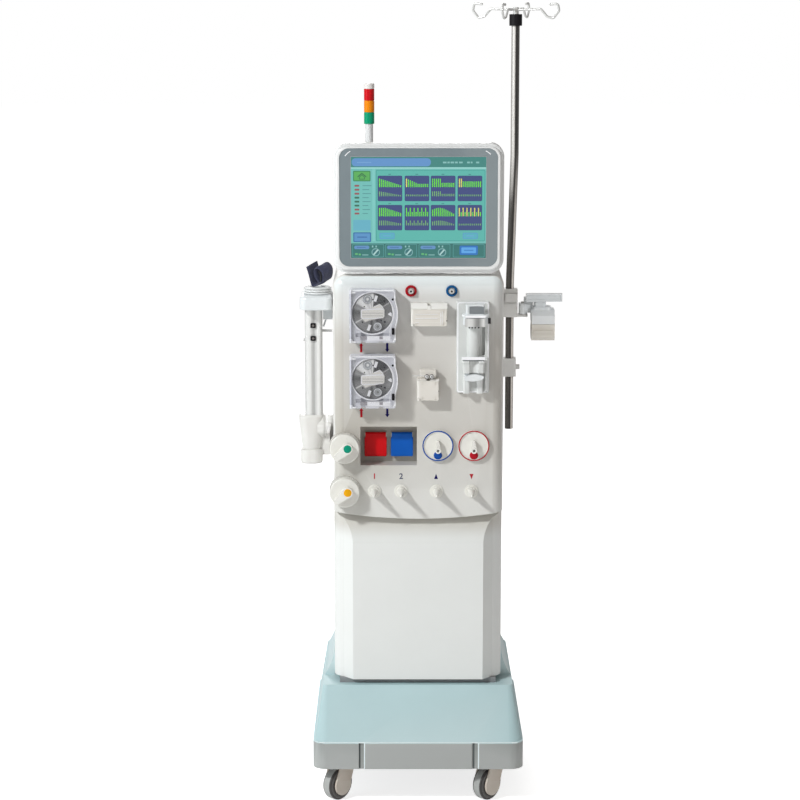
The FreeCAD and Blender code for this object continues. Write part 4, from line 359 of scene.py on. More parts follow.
def material(name, group, colour, shade, **values):
    made = bpy.data.materials.new(name)
    made.use_nodes = True
    tree = made.node_tree
    tree.nodes.clear()
    out = tree.nodes.new("ShaderNodeOutputMaterial")
    surface = tree.nodes.new("ShaderNodeBsdfPrincipled")
    place = tree.nodes.new("ShaderNodeTexCoord")
    effect = tree.nodes.new("ShaderNodeGroup")
    effect.node_tree = group
    effect.inputs["Colour"].default_value = linear(*colour)
    effect.inputs["Shade"].default_value = linear(*shade)
    for key, value in values.pop("effect", {}).items():
        effect.inputs[key].default_value = value
    for key, value in values.items():
        surface.inputs[key.replace("_", " ")].default_value = value
    wire(tree, (place.outputs["Object"], effect.inputs["Vector"]), (surface.outputs[0], out.inputs[0]))
    for source, target in (("Color", "Base Color"), ("Roughness", "Roughness"), ("Normal", "Normal")):
        wire(tree, (effect.outputs[source], surface.inputs[target]))
    return made


def plastic(name, colour, shade=None, gloss=0.35, grain=0.05, scale=1400.0, **more):
    shade = shade or tuple(int(c * 0.965) for c in colour)
    effect = {"Gloss": gloss, "Grain Depth": grain, "Grain Scale": scale}
    effect.update(more.pop("effect", {}))
    return material(name, moulded, colour, shade, effect=effect, **more)


def printed(name, colour):
    """Flat ink or a small coloured moulding: no painted edge highlight and hardly any shine."""
    return plastic(name, colour, gloss=0.45, grain=0.0, effect={"Edge Light": 0.0}, Specular_IOR_Level=0.2)


def metal(name, colour, shade, gloss=0.22, stretch=(900.0, 900.0, 9.0), depth=0.08):
    effect = {"Gloss": gloss, "Stretch": stretch, "Depth": depth}
    return material(name, drawn, colour, shade, Metallic=1.0, effect=effect)


def dress(node, made):
    """Give a solid its finish."""
    NODES[node].data.materials.clear()
    NODES[node].data.materials.append(made)


# %% [markdown]
# ## Finishes for the solids
# The cabinet is painted sheet and moulded panels in nearly the same white. The base is a pale grey-blue, the
# pump parts are silvery grey behind clear covers, and only the two concentrate flaps carry strong colour.

# %% Finishes
cabinet_paint = plastic("cabinet paint", (225, 224, 221), (218, 216, 212), gloss=0.34, grain=0.07, scale=900.0)
syringe_skin = plastic("syringe pump skin", (214, 217, 216), (206, 208, 206), gloss=0.34, grain=0.05)
# Painted highlight and painted shade for the base's edges and grooves, and the shade under the syringe seat.
base_highlight = plastic("base painted highlight", (232, 246, 249), gloss=0.3, grain=0.0)
groove_shade = plastic("painted groove shade", (84, 92, 92), gloss=0.5, grain=0.05, effect={"Edge Light": 0.0})
screen_frame_skin = plastic("screen frame", (232, 233, 233), (226, 227, 227), gloss=0.3, grain=0.04)
cream_plastic = plastic("cream plastic", (226, 222, 215), (219, 214, 206), gloss=0.38, grain=0.06)
holder_white = plastic("holder white", (226, 230, 232), (214, 219, 222), gloss=0.3, grain=0.05)
bracket_beige = plastic("bracket beige", (216, 210, 198), (204, 197, 184), gloss=0.36, grain=0.06)
clamp_grey = plastic("pole clamp grey", (208, 207, 204), (192, 191, 188), gloss=0.36, grain=0.05)
frame_coat = plastic("frame coat", (92, 96, 101), (80, 84, 89), gloss=0.48, grain=0.3, scale=500.0)
module_skin = plastic("module housing", (112, 118, 125), (98, 104, 111), gloss=0.5, grain=0.2)
dark_plastic = plastic("dark plastic", (42, 43, 46), (34, 35, 38), gloss=0.42, grain=0.12)
tan_plastic = plastic("caster tan", (214, 200, 184), (198, 184, 168), gloss=0.42, grain=0.1)
tyre_rubber = plastic("tyre rubber", (62, 58, 57), (50, 47, 46), gloss=0.55, grain=0.2, scale=600.0)
tread_rubber = plastic("tread rubber", (168, 170, 168), (152, 154, 152), gloss=0.5, grain=0.15, scale=600.0)
pump_shell = plastic("pump shell", (214, 215, 222), (203, 204, 213), gloss=0.3, grain=0.03)
pump_band = plastic("pump hinge band", (178, 181, 188), (168, 171, 179), gloss=0.3, grain=0.03)
# Plain white standing in for light: painted highlights on edges, rims, ribs and glass.
highlight_white = plastic("painted highlight white", (250, 250, 253), (243, 243, 248), gloss=0.16, grain=0.0)
port_shadow = plastic("tube port painted shade", (120, 112, 124), (104, 98, 108), gloss=0.4, grain=0.0)
grip_skin = plastic("rotor grip", (232, 229, 222), (222, 219, 212), gloss=0.3, grain=0.0)
grip_shade = plastic("grip painted shade", (186, 182, 175), (176, 172, 166), gloss=0.4, grain=0.0)
roller_skin = plastic("roller", (176, 179, 182), (160, 163, 167), gloss=0.22, grain=0.03)
knob_white = plastic("knob white", (232, 231, 226), (224, 222, 215), gloss=0.3, grain=0.04)
flap_red = printed("red flap", (214, 0, 14))
flap_blue = printed("blue flap", (0, 92, 190))
mark_red = printed("red marking", (176, 6, 30))
mark_navy = printed("navy marking", (16, 6, 86))
mark_blue = printed("blue marking", (10, 74, 160))
mark_green = printed("green marking", (0, 148, 118))
mark_yellow = printed("yellow marking", (238, 170, 0))
mark_grey = printed("grey marking", (84, 88, 112))
mark_black = printed("black fitting", (22, 20, 24))
mark_port_red = printed("red port ring", (166, 14, 30))
mark_port_blue = printed("blue port ring", (12, 82, 134))
window_grey = plastic("window grey", (128, 134, 138), (112, 118, 122), gloss=0.2, grain=0.0,
                      effect={"Edge Light": 0.0}, Coat_Weight=0.3)
rib_shadow = plastic("rib painted shadow", (186, 178, 166), (176, 168, 156), gloss=0.4, grain=0.0)
steel = metal("pole steel", (196, 192, 188), (132, 126, 120), gloss=0.16)
chrome = plastic("bright wire", (236, 236, 234), (214, 214, 214), gloss=0.2, grain=0.0, Metallic=0.4)
steel_plate = metal("bracket steel", (190, 191, 193), (158, 159, 162), gloss=0.3, stretch=(40.0, 700.0, 700.0))
hose_rubber = plastic("hose rubber", (226, 228, 228), (212, 214, 215), gloss=0.42, grain=0.1)
cuff_cloth = material("cuff cloth", woven, (38, 42, 70), (62, 66, 98), effect={"Threads": 420.0, "Depth": 0.35},
                      Sheen_Weight=0.35)
cuff_loop = material("cuff loop lining", woven, (18, 19, 30), (32, 33, 48), effect={"Threads": 260.0, "Depth": 0.7},
                     Sheen_Weight=0.5)
clear_cover = plastic("clear cover", (232, 234, 244), (224, 227, 240), gloss=0.08, grain=0.01,
                      effect={"Edge Light": 0.0}, Coat_Weight=0.5)


def see_through(made, face_on, edge_on):
    """Make a thin clear moulding: nearly open face on, pale where the wall is seen along its length."""
    tree = made.node_tree
    facing = add(tree, "ShaderNodeLayerWeight", Blend=0.5)
    spread = add(tree, "ShaderNodeMapRange")
    for index, value in zip((1, 2, 3, 4), (0.08, 0.9, face_on, edge_on)):
        spread.inputs[index].default_value = value
    surface = part_of(tree, "BSDF_PRINCIPLED")
    wire(tree, (facing.outputs["Facing"], spread.inputs[0]), (spread.outputs[0], surface.inputs["Alpha"]))


see_through(clear_cover, 0.03, 0.6)

# %% [markdown]
# ### Polished tube
# A polished tube in a white room shows dark and bright lines along its length; here those reflections are
# painted into its colour. Where they fall depends on which way the surface faces, so the sideways part of the
# normal picks the tone.

# %% Polished tube finish
TUBE_REFLECTIONS_LOW = [(0.0, 96), (0.1, 120), (0.2, 112), (0.3, 104), (0.42, 96), (0.5, 58), (0.58, 46), (0.66, 96),
            (0.74, 236), (0.84, 250), (0.92, 170), (1.0, 150)]
TUBE_REFLECTIONS_HIGH = [(0.0, 150), (0.06, 196), (0.16, 216), (0.3, 255), (0.42, 240), (0.48, 130), (0.54, 60), (0.66, 62),
             (0.8, 88), (0.92, 120), (1.0, 150)]


def tone_ramp(tree, share, tones, tint):
    """Grey tones along a ramp: tones is a list of (place from 0 to 1, tone from 0 to 255)."""
    ramp = tree.nodes.new("ShaderNodeValToRGB")
    stops = ramp.color_ramp.elements
    for k in range(len(tones) - len(stops)):
        stops.new(0.5)
    for stop, (position, tone) in zip(stops, tones):
        stop.position = position
    for stop, (position, tone) in zip(stops, tones):
        stop.color = linear(*(tone * channel for channel in tint))
    wire(tree, (share, ramp.inputs[0]))
    return ramp.outputs[0]


def parts_of(made, coordinate="Object"):
    """The tree and effect of a material, and a fresh node that splits one of its coordinates."""
    tree = made.node_tree
    split = tree.nodes.new("ShaderNodeSeparateXYZ")
    wire(tree, (part_of(tree, "TEX_COORD").outputs[coordinate], split.inputs[0]))
    return tree, part_of(tree, "GROUP"), split


def rising(tree, split, low, high):
    """From 0 to 1 while the height goes from low to high."""
    rise = tree.nodes.new("ShaderNodeMapRange")
    rise.interpolation_type = "SMOOTHSTEP"
    rise.inputs[1].default_value = low
    rise.inputs[2].default_value = high
    wire(tree, (split.outputs[2], rise.inputs[0]))
    return rise.outputs[0]


def coloured(tree, effect, tone, share):
    """Lead a tone into the effect, with a slightly darker one for its mottle."""
    darker = blended(tree, 1.0, tone, (share, share, share, 1.0), blend="MULTIPLY")
    wire(tree, (tone, effect.inputs["Colour"]), (darker, effect.inputs["Shade"]))


def tube_finish(name):
    made = metal(name, (200, 196, 190), (170, 166, 160), gloss=0.26, depth=0.03)
    tree, effect, facing = parts_of(made, "Normal")
    part_of(tree, "BSDF_PRINCIPLED").inputs["Metallic"].default_value = 0.35
    share = arithmetic(tree, "MULTIPLY_ADD", facing.outputs[0], 0.5)
    share.node.inputs[2].default_value = 0.5
    tone = blended(tree, rising(tree, parts_of(made)[2], 1.3, 1.5),
                   tone_ramp(tree, share, TUBE_REFLECTIONS_LOW, (1.0, 0.97, 0.94)),
                   tone_ramp(tree, share, TUBE_REFLECTIONS_HIGH, (1.0, 0.985, 0.97)))
    coloured(tree, effect, tone, 0.9)
    return made


def across(name, left, right, tones):
    """A satin metal whose tones run from left to right between two places: painted reflections."""
    made = plastic(name, (220, 220, 220), gloss=0.32, grain=0.0, effect={"Edge Light": 0.0}, Metallic=0.1)
    tree, effect, split = parts_of(made)
    share = arithmetic(tree, "MULTIPLY_ADD", split.outputs[0], 1 / (right - left))
    share.node.inputs[2].default_value = -left / (right - left)
    coloured(tree, effect, tone_ramp(tree, share, tones, (1.0, 1.0, 0.995)), 0.97)
    return made


pole_steel = tube_finish("polished pole")
# The bright and dark tones across the column's and the carriage collar's width are painted reflections.
COLUMN_X = -241.5 * MM
aluminium = across("column aluminium", COLUMN_X - 20 * MM, COLUMN_X + 20 * MM, [
    (0.0, 200), (0.12, 216), (0.22, 236), (0.34, 226), (0.46, 186), (0.54, 172), (0.64, 206), (0.76, 236),
    (0.88, 230), (0.96, 204), (1.0, 196)])
drum_silver = across("carriage collar", 103 * MM, 150 * MM, [
    (0.0, 190), (0.2, 224), (0.36, 218), (0.56, 150), (0.68, 136), (0.8, 190), (0.9, 226), (1.0, 196)])

# %% [markdown]
# ### One solid, several colours
# The signal tower is one solid but has a plain tube, three coloured lenses and a clear cap. Colour that depends
# only on height can be picked in the shader from the Object coordinate, with no seam to model.

# %% Height-banded and height-toned finishes
def banded(name, bands, gloss=0.22, **values):
    """A moulded finish whose colour steps at given heights: bands is a list of (from_height, colour)."""
    made = plastic(name, bands[0][1], gloss=gloss, **values)
    tree, effect, split = parts_of(made)
    colour = linear(*bands[0][1])
    for height, next_colour in bands[1:]:
        above = arithmetic(tree, "GREATER_THAN", split.outputs[2], height)
        colour = blended(tree, above, colour, linear(*next_colour))
    coloured(tree, effect, colour, 0.93)
    return made


def toned_by_height(name, stops, gloss, grain, scale, share):
    """A moulded finish whose colour drifts with height: stops is a list of (height, colour), low to high."""
    made = plastic(name, stops[0][1], gloss=gloss, grain=grain, scale=scale)
    tree, effect, split = parts_of(made)
    colour = linear(*stops[0][1])
    for (low, under), (high, over) in zip(stops, stops[1:]):
        colour = blended(tree, rising(tree, split, low, high), colour, linear(*over))
    coloured(tree, effect, colour, share)
    return made


# The control panel's tone by height is painted light and shade: bright and cool at the top, darker and warmer
# through the middle, a little lighter near the bottom.
panel_skin = toned_by_height("panel skin", [(0.65, (208, 207, 202)), (0.86, (190, 186, 178)), (1.04, (192, 188, 181)),
                                  (1.15, (212, 212, 209)), (1.2, (228, 234, 235))], 0.36, 0.05, 1100.0, 0.95)
# The lower panel darkens towards its top: a painted shadow under the control panel's lip.
lower_skin = toned_by_height("lower panel skin", [(0.59, (226, 228, 226)), (0.635, (196, 193, 185))], 0.34, 0.05, 1100.0, 0.96)
base_skin = toned_by_height("base moulding", [(0.146, (126, 132, 130)), (0.149, (186, 213, 217))], 0.42, 0.1, 700.0, 0.94)
tower_low, tower_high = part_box("signal_tower")
cap_height = 13 * MM
lens_height = 27 * MM
lens_low = tower_high.z - cap_height - 3 * lens_height
tower_finish = banded("tower lenses", [
    (0.0, (222, 223, 224)), (lens_low, (0, 156, 112)), (lens_low + lens_height, (240, 138, 0)),
    (lens_low + 2 * lens_height, (206, 8, 22)), (lens_low + 3 * lens_height, (232, 228, 226))],
    effect={"Edge Light": 0.0}, Specular_IOR_Level=0.25)


# %% [markdown]
# ### Spun metal with painted reflections
# A disc turned on a lathe reflects the room as bright and dark fans that run out from its middle; here the fans
# are painted into its colour. The angle round the rotor's axis, read from the Object coordinate, picks the tone
# from a ramp, so the fans turn with the rotor.

# %% Spun metal finish with painted reflections
REFLECTION_FANS = [(-180, 108), (-168, 132), (-154, 146), (-150, 240), (-146, 150), (-108, 138), (-96, 84), (-84, 136),
        (-74, 150), (-62, 74), (-48, 104), (-22, 152), (6, 128), (29, 128), (32, 196), (35, 96), (48, 60), (62, 76),
        (76, 58), (84, 122), (88, 255), (97, 206), (106, 250), (118, 220), (133, 255), (145, 238), (152, 146),
        (162, 172), (172, 116), (180, 108)]


def painted_reflection_fans(name, centre):
    made = plastic(name, (150, 150, 150), gloss=0.34, grain=0.02, effect={"Edge Light": 0.0}, Metallic=0.1)
    tree, effect, split = parts_of(made)
    right = arithmetic(tree, "SUBTRACT", split.outputs[0], centre.x)
    up = arithmetic(tree, "SUBTRACT", split.outputs[2], centre.z)
    turn = arithmetic(tree, "MULTIPLY_ADD", arithmetic(tree, "ARCTAN2", up, right), 0.5 / math.pi)
    turn.node.inputs[2].default_value = 0.5
    tones = [((angle + 180) / 360, tone) for angle, tone in REFLECTION_FANS]
    coloured(tree, effect, tone_ramp(tree, turn, tones, (1.0, 1.0, 1.0)), 0.88)
    return made


# %% Put the finishes on
for node, made in {
    "base_cover": base_skin, "chassis_frame": frame_coat, "front_panel": panel_skin, "lower_panel": lower_skin,
    "rear_housing": cabinet_paint, "service_cover": cabinet_paint, "rear_fittings": module_skin,
    "hydraulic_modules": module_skin, "electronic_modules": module_skin, "pump_head_upper": pump_shell,
    "pump_head_lower": pump_shell, "pressure_ports": cream_plastic, "air_detector": knob_white,
    "air_detector_door": cream_plastic, "line_clamp": cream_plastic, "line_clamp_door": cream_plastic,
    "syringe_pump_body": syringe_skin, "syringe_carriage": holder_white, "carriage_release": dark_plastic,
    "barrel_clamp": holder_white, "concentrate_flap_red": flap_red, "concentrate_flap_blue": flap_blue,
    "coupling_ports": knob_white, "fluid_ports": knob_white, "selector_knob_upper": knob_white,
    "selector_knob_lower": knob_white, "monitor_housing": screen_frame_skin, "monitor_bracket": steel_plate,
    "signal_tower": tower_finish, "iv_pole": pole_steel, "hook_head": chrome, "pole_clamps": clamp_grey,
    "dialyser_arm": holder_white, "dialyser_jaw": bracket_beige, "side_arm_bracket": cabinet_paint,
    "arm_elbow": cabinet_paint, "arm_column": aluminium, "side_shelf": holder_white,
    "pump_door_upper": clear_cover, "pump_door_lower": clear_cover,
}.items():
    dress(node, made)
for node in NODES:
    if node.startswith("caster_fork"):
        dress(node, tan_plastic)
    if node.startswith("caster_wheel"):
        dress(node, tyre_rubber)
    if node.startswith("brake_pedal"):
        dress(node, dark_plastic)
    if node.startswith("pump_rotor"):
        dress(node, painted_reflection_fans("rotor painted reflections " + node[11:], at("rotor_spin_" + node[11:])))
    if node.startswith("pump_roller"):
        dress(node, roller_skin)

# %% [markdown]
# ## The cuff's hose
# The hose is about a metre and a half long, wound in a flat coil under the cuff and plugged into the tray. A
# NURBS curve gives one smooth line through the coil's turns; each turn gets fourteen control points.

# %% Hose
HOSE_RADIUS = 2.5 * MM
hose_start = [(-219.0, -34.0), (-237.0, -34.0), (-252.6, -43.0), (-261.6, -58.6), (-261.6, -76.6)]
coil_low, coil_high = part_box("cuff_hose_coil")
coil_centre = (coil_low + coil_high) / 2
layer_height = (coil_high.z - coil_low.z - 2 * HOSE_RADIUS) / 2
outer_turn = 33 * MM - HOSE_RADIUS
turn_step = 2.05 * HOSE_RADIUS
hose_points = [Vector((x * MM, y * MM, coil_low.z + HOSE_RADIUS)) for x, y in hose_start]
points_per_turn = 14
for layer in range(3):
    radii = [outer_turn - k * turn_step for k in range(3)]
    if layer % 2:
        radii.reverse()
    for turn, radius in enumerate(radii):
        following = radii[turn + 1] if turn < 2 else radius
        for k in range(points_per_turn):
            share = k / points_per_turn
            angle = math.radians(170.0) + 2 * math.pi * share
            r = radius + (following - radius) * max(0.0, share - 0.5) * 2.0
            height = coil_low.z + HOSE_RADIUS + layer * layer_height
            if turn == 2 and layer < 2:
                height += layer_height * max(0.0, share - 0.6) / 0.4
            x, y = coil_centre.x + r * math.cos(angle), coil_centre.y + r * math.sin(angle)
            hose_points.append(Vector((x, y, height)))


def nurbs_tube(name, points, radius, made, resolution=4):
    data = bpy.data.curves.new(name, "CURVE")
    data.dimensions = "3D"
    data.bevel_depth = radius
    data.bevel_resolution = 3
    data.resolution_u = resolution
    data.use_fill_caps = True
    spline = data.splines.new("NURBS")
    spline.points.add(len(points) - 1)
    for target, point in zip(spline.points, points):
        target.co = (*point, 1.0)
    spline.order_u = 3
    spline.use_endpoint_u = True
    obj = bpy.data.objects.new(name, data)
    scene.collection.objects.link(obj)
    data.materials.append(made)
    return obj


hose = nurbs_tube("cuff_hose", hose_points, HOSE_RADIUS, hose_rubber)
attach(hose, "side_arm")
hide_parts("cuff_hose_coil", "cuff_hose_lead")

# %% [markdown]
# ## The folded cuff
# The cuff is a strip of coated nylon with a flat bladder inside, rolled loosely and stood on its edge. Seen from
# the front it is a line: up the left leaf, down and round a teardrop loop, and over the right leaf. That line is
# given a thickness and pushed back through the cuff's depth.

# %% Cuff
cuff_low, cuff_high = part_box("cuff")
cuff_mid = (cuff_low + cuff_high) / 2
# the line of the fold in its own plane, and the lean of the strip's width away from the viewer
fold = [(-30, 46), (-26, 32), (-21, 14), (-17, 3), (-11, 1.5), (-3, 4), (3.5, 8), (6.5, 20), (6, 31), (1, 39),
        (-6, 43), (-11.5, 39), (-12, 30), (-8, 18), (-1.5, 9)]
inner_fold = [(1.5, 11), (1.8, 20), (0.5, 29), (-3.5, 36)]
width_way = Vector((23.5, 30.0, 11.0)) * MM


def spline_line(points, per_span=5):
    """Points on a smooth line through the given ones."""
    line = []
    for k in range(len(points) - 1):
        p0, p1 = points[max(k - 1, 0)], points[k]
        p2, p3 = points[k + 1], points[min(k + 2, len(points) - 1)]
        for step in range(per_span):
            t = step / per_span
            line.append(tuple(0.5 * (2 * b + (c - a) * t + (2 * a - 5 * b + 4 * c - d) * t * t
                                     + (3 * b - a - 3 * c + d) * t ** 3) for a, b, c, d in zip(p0, p1, p2, p3)))
    line.append(tuple(points[-1]))
    return line


def folded_strip(bm, points, thick, material=0, rows=11):
    """A padded strip that follows the line and runs off along width_way."""
    line = spline_line(points)
    base = Vector((cuff_mid.x + 5.5 * MM, cuff_low.y + 3 * MM, cuff_low.z))
    sides = {}
    for k, (x, z) in enumerate(line):
        a, b = line[max(k - 1, 0)], line[min(k + 1, len(line) - 1)]
        normal = Vector((-(b[1] - a[1]), 0, b[0] - a[0])).normalized()
        for r in range(rows):
            across = r / (rows - 1)
            half = thick * (1 - abs(2 * across - 1) ** 6) + 0.35
            wave = 0.45 * math.sin(across * 8.0 + k * 0.3)
            place = base + Vector((x, 0, z)) * MM + width_way * across
            for sign in (-1, 1):
                sides[k, r, sign] = bm.verts.new(place + normal * (sign * half + wave) * MM)
    last = len(line) - 1
    faces = []
    for k in range(last):
        for sign in (-1, 1):
            for r in range(rows - 1):
                quad = [sides[k, r, sign], sides[k + 1, r, sign], sides[k + 1, r + 1, sign], sides[k, r + 1, sign]]
                faces.append(bm.faces.new(quad))
        for r in (0, rows - 1):
            faces.append(bm.faces.new([sides[k, r, -1], sides[k + 1, r, -1], sides[k + 1, r, 1], sides[k, r, 1]]))
    for k in (0, last):
        for r in range(rows - 1):
            faces.append(bm.faces.new([sides[k, r, -1], sides[k, r + 1, -1], sides[k, r + 1, 1], sides[k, r, 1]]))
    for face in faces:
        face.material_index = material


def build_cuff():
    bm = bmesh.new()
    folded_strip(bm, fold, 1.5)
    folded_strip(bm, inner_fold, 0.9, 1)
    return bm


cuff = piece(build_cuff(), "folded_cuff", [cuff_cloth, cuff_loop], "side_arm", edge_angle=60.0)
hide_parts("cuff")

# %% [markdown]
# ## What repeats: one scatter tree
# Screws and chart bars are the same idea: one small shape placed at many points, each stretched by its own
# amount. A Geometry Nodes tree does this from a cloud of points, so only the point list changes.

# %% Scatter tree
scatter = bpy.data.node_groups.new("scatter", "GeometryNodeTree")
for name, kind in (("Geometry", "Geometry"), ("Shape", "Object"), ("Size", "Float"), ("Finish", "Material")):
    scatter.interface.new_socket(name=name, in_out="INPUT", socket_type="NodeSocket" + kind)
scatter.interface.new_socket(name="Geometry", in_out="OUTPUT", socket_type="NodeSocketGeometry")
s_in = scatter.nodes.new("NodeGroupInput")
s_out = scatter.nodes.new("NodeGroupOutput")
shape_info = scatter.nodes.new("GeometryNodeObjectInfo")
stretch_read = add(scatter, "GeometryNodeInputNamedAttribute", data_type="FLOAT_VECTOR", Name="stretch")
turn_read = add(scatter, "GeometryNodeInputNamedAttribute", data_type="FLOAT_VECTOR", Name="turn")
scale_up = add(scatter, "ShaderNodeVectorMath", operation="SCALE")
turn_to = scatter.nodes.new("FunctionNodeEulerToRotation")
on_points = scatter.nodes.new("GeometryNodeInstanceOnPoints")
realize = scatter.nodes.new("GeometryNodeRealizeInstances")
paint = scatter.nodes.new("GeometryNodeSetMaterial")
wire(scatter, (s_in.outputs["Geometry"], on_points.inputs["Points"]), (s_in.outputs["Shape"], shape_info.inputs[0]),
     (shape_info.outputs["Geometry"], on_points.inputs["Instance"]), (stretch_read.outputs[0], scale_up.inputs[0]),
     (s_in.outputs["Size"], scale_up.inputs["Scale"]), (scale_up.outputs[0], on_points.inputs["Scale"]),
     (turn_read.outputs[0], turn_to.inputs[0]), (turn_to.outputs[0], on_points.inputs["Rotation"]),
     (on_points.outputs[0], realize.inputs[0]), (realize.outputs[0], paint.inputs[0]),
     (s_in.outputs["Finish"], paint.inputs["Material"]), (paint.outputs[0], s_out.inputs[0]))


def shape_object(bm, name):
    """A mould for the scatter tree, removed once it has been used."""
    bmesh.ops.recalc_face_normals(bm, faces=bm.faces)
    mesh = bpy.data.meshes.new(name)
    bm.to_mesh(mesh)
    bm.free()
    obj = bpy.data.objects.new(name, mesh)
    scene.collection.objects.link(obj)
    return obj


def scattered(name, mould, places, finish, body, stretches=None, turns=None):
    """Place the mould at each point and turn the result into one plain mesh."""
    mesh = bpy.data.meshes.new(name + "_points")
    mesh.from_pydata([tuple(p) for p in places], [], [])
    count = len(places)
    stretches = stretches or [(1.0, 1.0, 1.0)] * count
    turns = turns or [(0.0, 0.0, 0.0)] * count
    for label, values in (("stretch", stretches), ("turn", turns)):
        attribute = mesh.attributes.new(label, "FLOAT_VECTOR", "POINT")
        attribute.data.foreach_set("vector", [c for v in values for c in v])
    cloud = bpy.data.objects.new(name + "_cloud", mesh)
    scene.collection.objects.link(cloud)
    modifier = cloud.modifiers.new("scatter", "NODES")
    modifier.node_group = scatter
    ids = {s.name: s.identifier for s in scatter.interface.items_tree if s.in_out == "INPUT"}
    modifier[ids["Shape"]] = mould
    modifier[ids["Size"]] = 1.0
    modifier[ids["Finish"]] = finish
    bpy.context.view_layer.update()
    evaluated = cloud.evaluated_get(bpy.context.evaluated_depsgraph_get())
    plain = bpy.data.meshes.new_from_object(evaluated)
    plain.name = name
    for label in ("stretch", "turn"):
        if label in plain.attributes:
            plain.attributes.remove(plain.attributes[label])
    bpy.data.objects.remove(cloud)
    obj = bpy.data.objects.new(name, plain)
    scene.collection.objects.link(obj)
    if not len(plain.materials):
        plain.materials.append(finish)
    return hand_over(obj, body)


# %% [markdown]
# ## The screen's picture
# The picture is a thin layer right under the glass surface. It is drawn as flat shapes whose colour is stored on
# the faces, so one glowing material can show it all. Words are left out; plain bars and buttons stand for them.

# %% Screen layout
glass_low, glass_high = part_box("monitor_glass")
screen_width, screen_height = 303 * MM, 227 * MM
screen_left = -screen_width / 2
screen_bottom = (glass_low.z + glass_high.z) / 2 - screen_height / 2
screen_y = glass_low.y - 0.15 * MM


def build_picture():
    bm = bmesh.new()
    layer = bm.loops.layers.float_color.new("picture")

    def shape(points, colour, lift):
        """A filled outline in millimetres from the picture's lower left corner; a higher lift lies on top."""
        y = screen_y - lift * 0.05 * MM
        face = bm.faces.new([bm.verts.new((screen_left + u * MM, y, screen_bottom + v * MM)) for u, v in points])
        for loop in face.loops:
            loop[layer] = linear(*colour)

    def area(u0, u1, v0, v1, colour, lift=1, radius=0.0):
        if radius:
            shape(rounded_rect(u0, u1, v0, v1, radius, 5), colour, lift)
        else:
            shape([(u0, v0), (u1, v0), (u1, v1), (u0, v1)], colour, lift)

    area(0, 303, 0, 227, (108, 184, 178), 0)
    area(0, 303, 204, 227, (56, 128, 122))
    area(2, 179, 206, 224, (92, 142, 196), 2, 8)
    area(14, 46, 214, 215.4, (118, 164, 208), 3)
    for u0, u1 in ((206, 214), (216, 221), (223, 231), (233, 239), (242, 250), (260, 266), (268, 272), (280, 287)):
        area(u0, u1, 212.6, 216.4, (128, 184, 180), 2)
    area(0, 303, 200.6, 203.6, (150, 208, 202))
    area(48, 54, 38, 200, (120, 194, 188))
    area(56, 301, 38, 198, (60, 150, 142), 1, 3)
    area(57.4, 299.6, 39.4, 196.6, (86, 176, 166), 2, 2.5)
    for row, v in enumerate((128, 62.5)):
        for column, u in enumerate((60, 120.5, 179, 239)):
            area(u, u + 55, v, v + 57, (44, 60, 106), 3, 3)
            area(u + 1, u + 54, v + 1, v + 56, (54, 68, 122), 4, 3)
            area(u + 24, u + 30, v + 59, v + 61, (60, 132, 132), 3)
    for u in (64, 251):
        area(u, u + 34, 43, 57, (86, 150, 196), 3, 3)
        area(u + 1.6, u + 32.4, 44.6, 55.4, (82, 170, 186), 4, 2.4)
        area(u + 8, u + 25, 49, 51, (100, 160, 204), 5)
    area(5, 44, 172.5, 196, (50, 124, 76), 1, 2)
    area(7, 42, 174.5, 194, (84, 168, 84), 2, 1.5)
    shape([(14.5, 183), (24.8, 191.5), (35, 183), (33.6, 181.6), (24.8, 188.8), (16, 181.6)], (38, 96, 66), 3)
    shape([(18.4, 176.5), (31.2, 176.5), (31.2, 182.4), (24.8, 187.4), (18.4, 182.4)], (46, 110, 70), 3)
    shape([(20, 178), (29.6, 178), (29.6, 181.8), (24.8, 185.6), (20, 181.8)], (84, 168, 84), 4)
    for k in range(8):
        colour = (146, 82, 84) if k < 3 or k > 5 else (52, 104, 84)
        area(8, 19, 160.4 - k * 8.9, 164.6 - k * 8.9, colour, 1, 2)
        area(26, 46 - (k * 5) % 9, 162 - k * 8.9, 163.4 - k * 8.9, (72, 132, 136))
    area(5, 44, 62, 86, (96, 170, 190), 1, 2)
    area(5, 45, 36, 58, (48, 104, 160), 1, 2)
    area(7.4, 42.6, 38.4, 55.6, (84, 142, 192), 2, 1.6)
    area(14, 36, 46, 48.4, (52, 104, 160), 3)
    area(0, 303, 0, 33, (44, 108, 104))
    for k, u in enumerate((3, 77, 152, 229)):
        area(u, u + 71, 1.6, 31.4, (80, 150, 148), 2, 2)
        area(u + 1.2, u + 69.8, 2.8, 30.2, (46, 112, 108), 3, 1.6)
        if k < 3:
            area(u + 4, u + 38, 20, 28, (92, 140, 188), 4, 3.6)
            area(u + 10, u + 30, 23.4, 24.8, (60, 104, 156), 5)
            area(u + 6, u + 12, 7, 11, (92, 176, 112), 4)
            area(u + 14, u + 19, 6, 10, (92, 176, 112), 4)
            area(u + 22, u + 36, 6, 8, (128, 180, 178), 4)
            area(u + 44, u + 47, 24, 28, (136, 186, 184), 4)
            area(u + 52, u + 55, 24, 28, (136, 186, 184), 4)
            area(u + 43, u + 62, 4, 22, (120, 170, 170), 4, 8.9)
            area(u + 45, u + 60, 6, 20, (48, 108, 112), 5, 6.9)
            shape([(u + 46, 8), (u + 49, 6.4), (u + 59, 18), (u + 56, 19.6)], (170, 206, 204), 6)
    area(244, 285, 7, 28, (36, 110, 186), 4, 3)
    area(248, 281, 11, 24, (88, 162, 224), 5, 2)
    area(254, 275, 16.4, 18.6, (52, 120, 190), 6)
    return bm


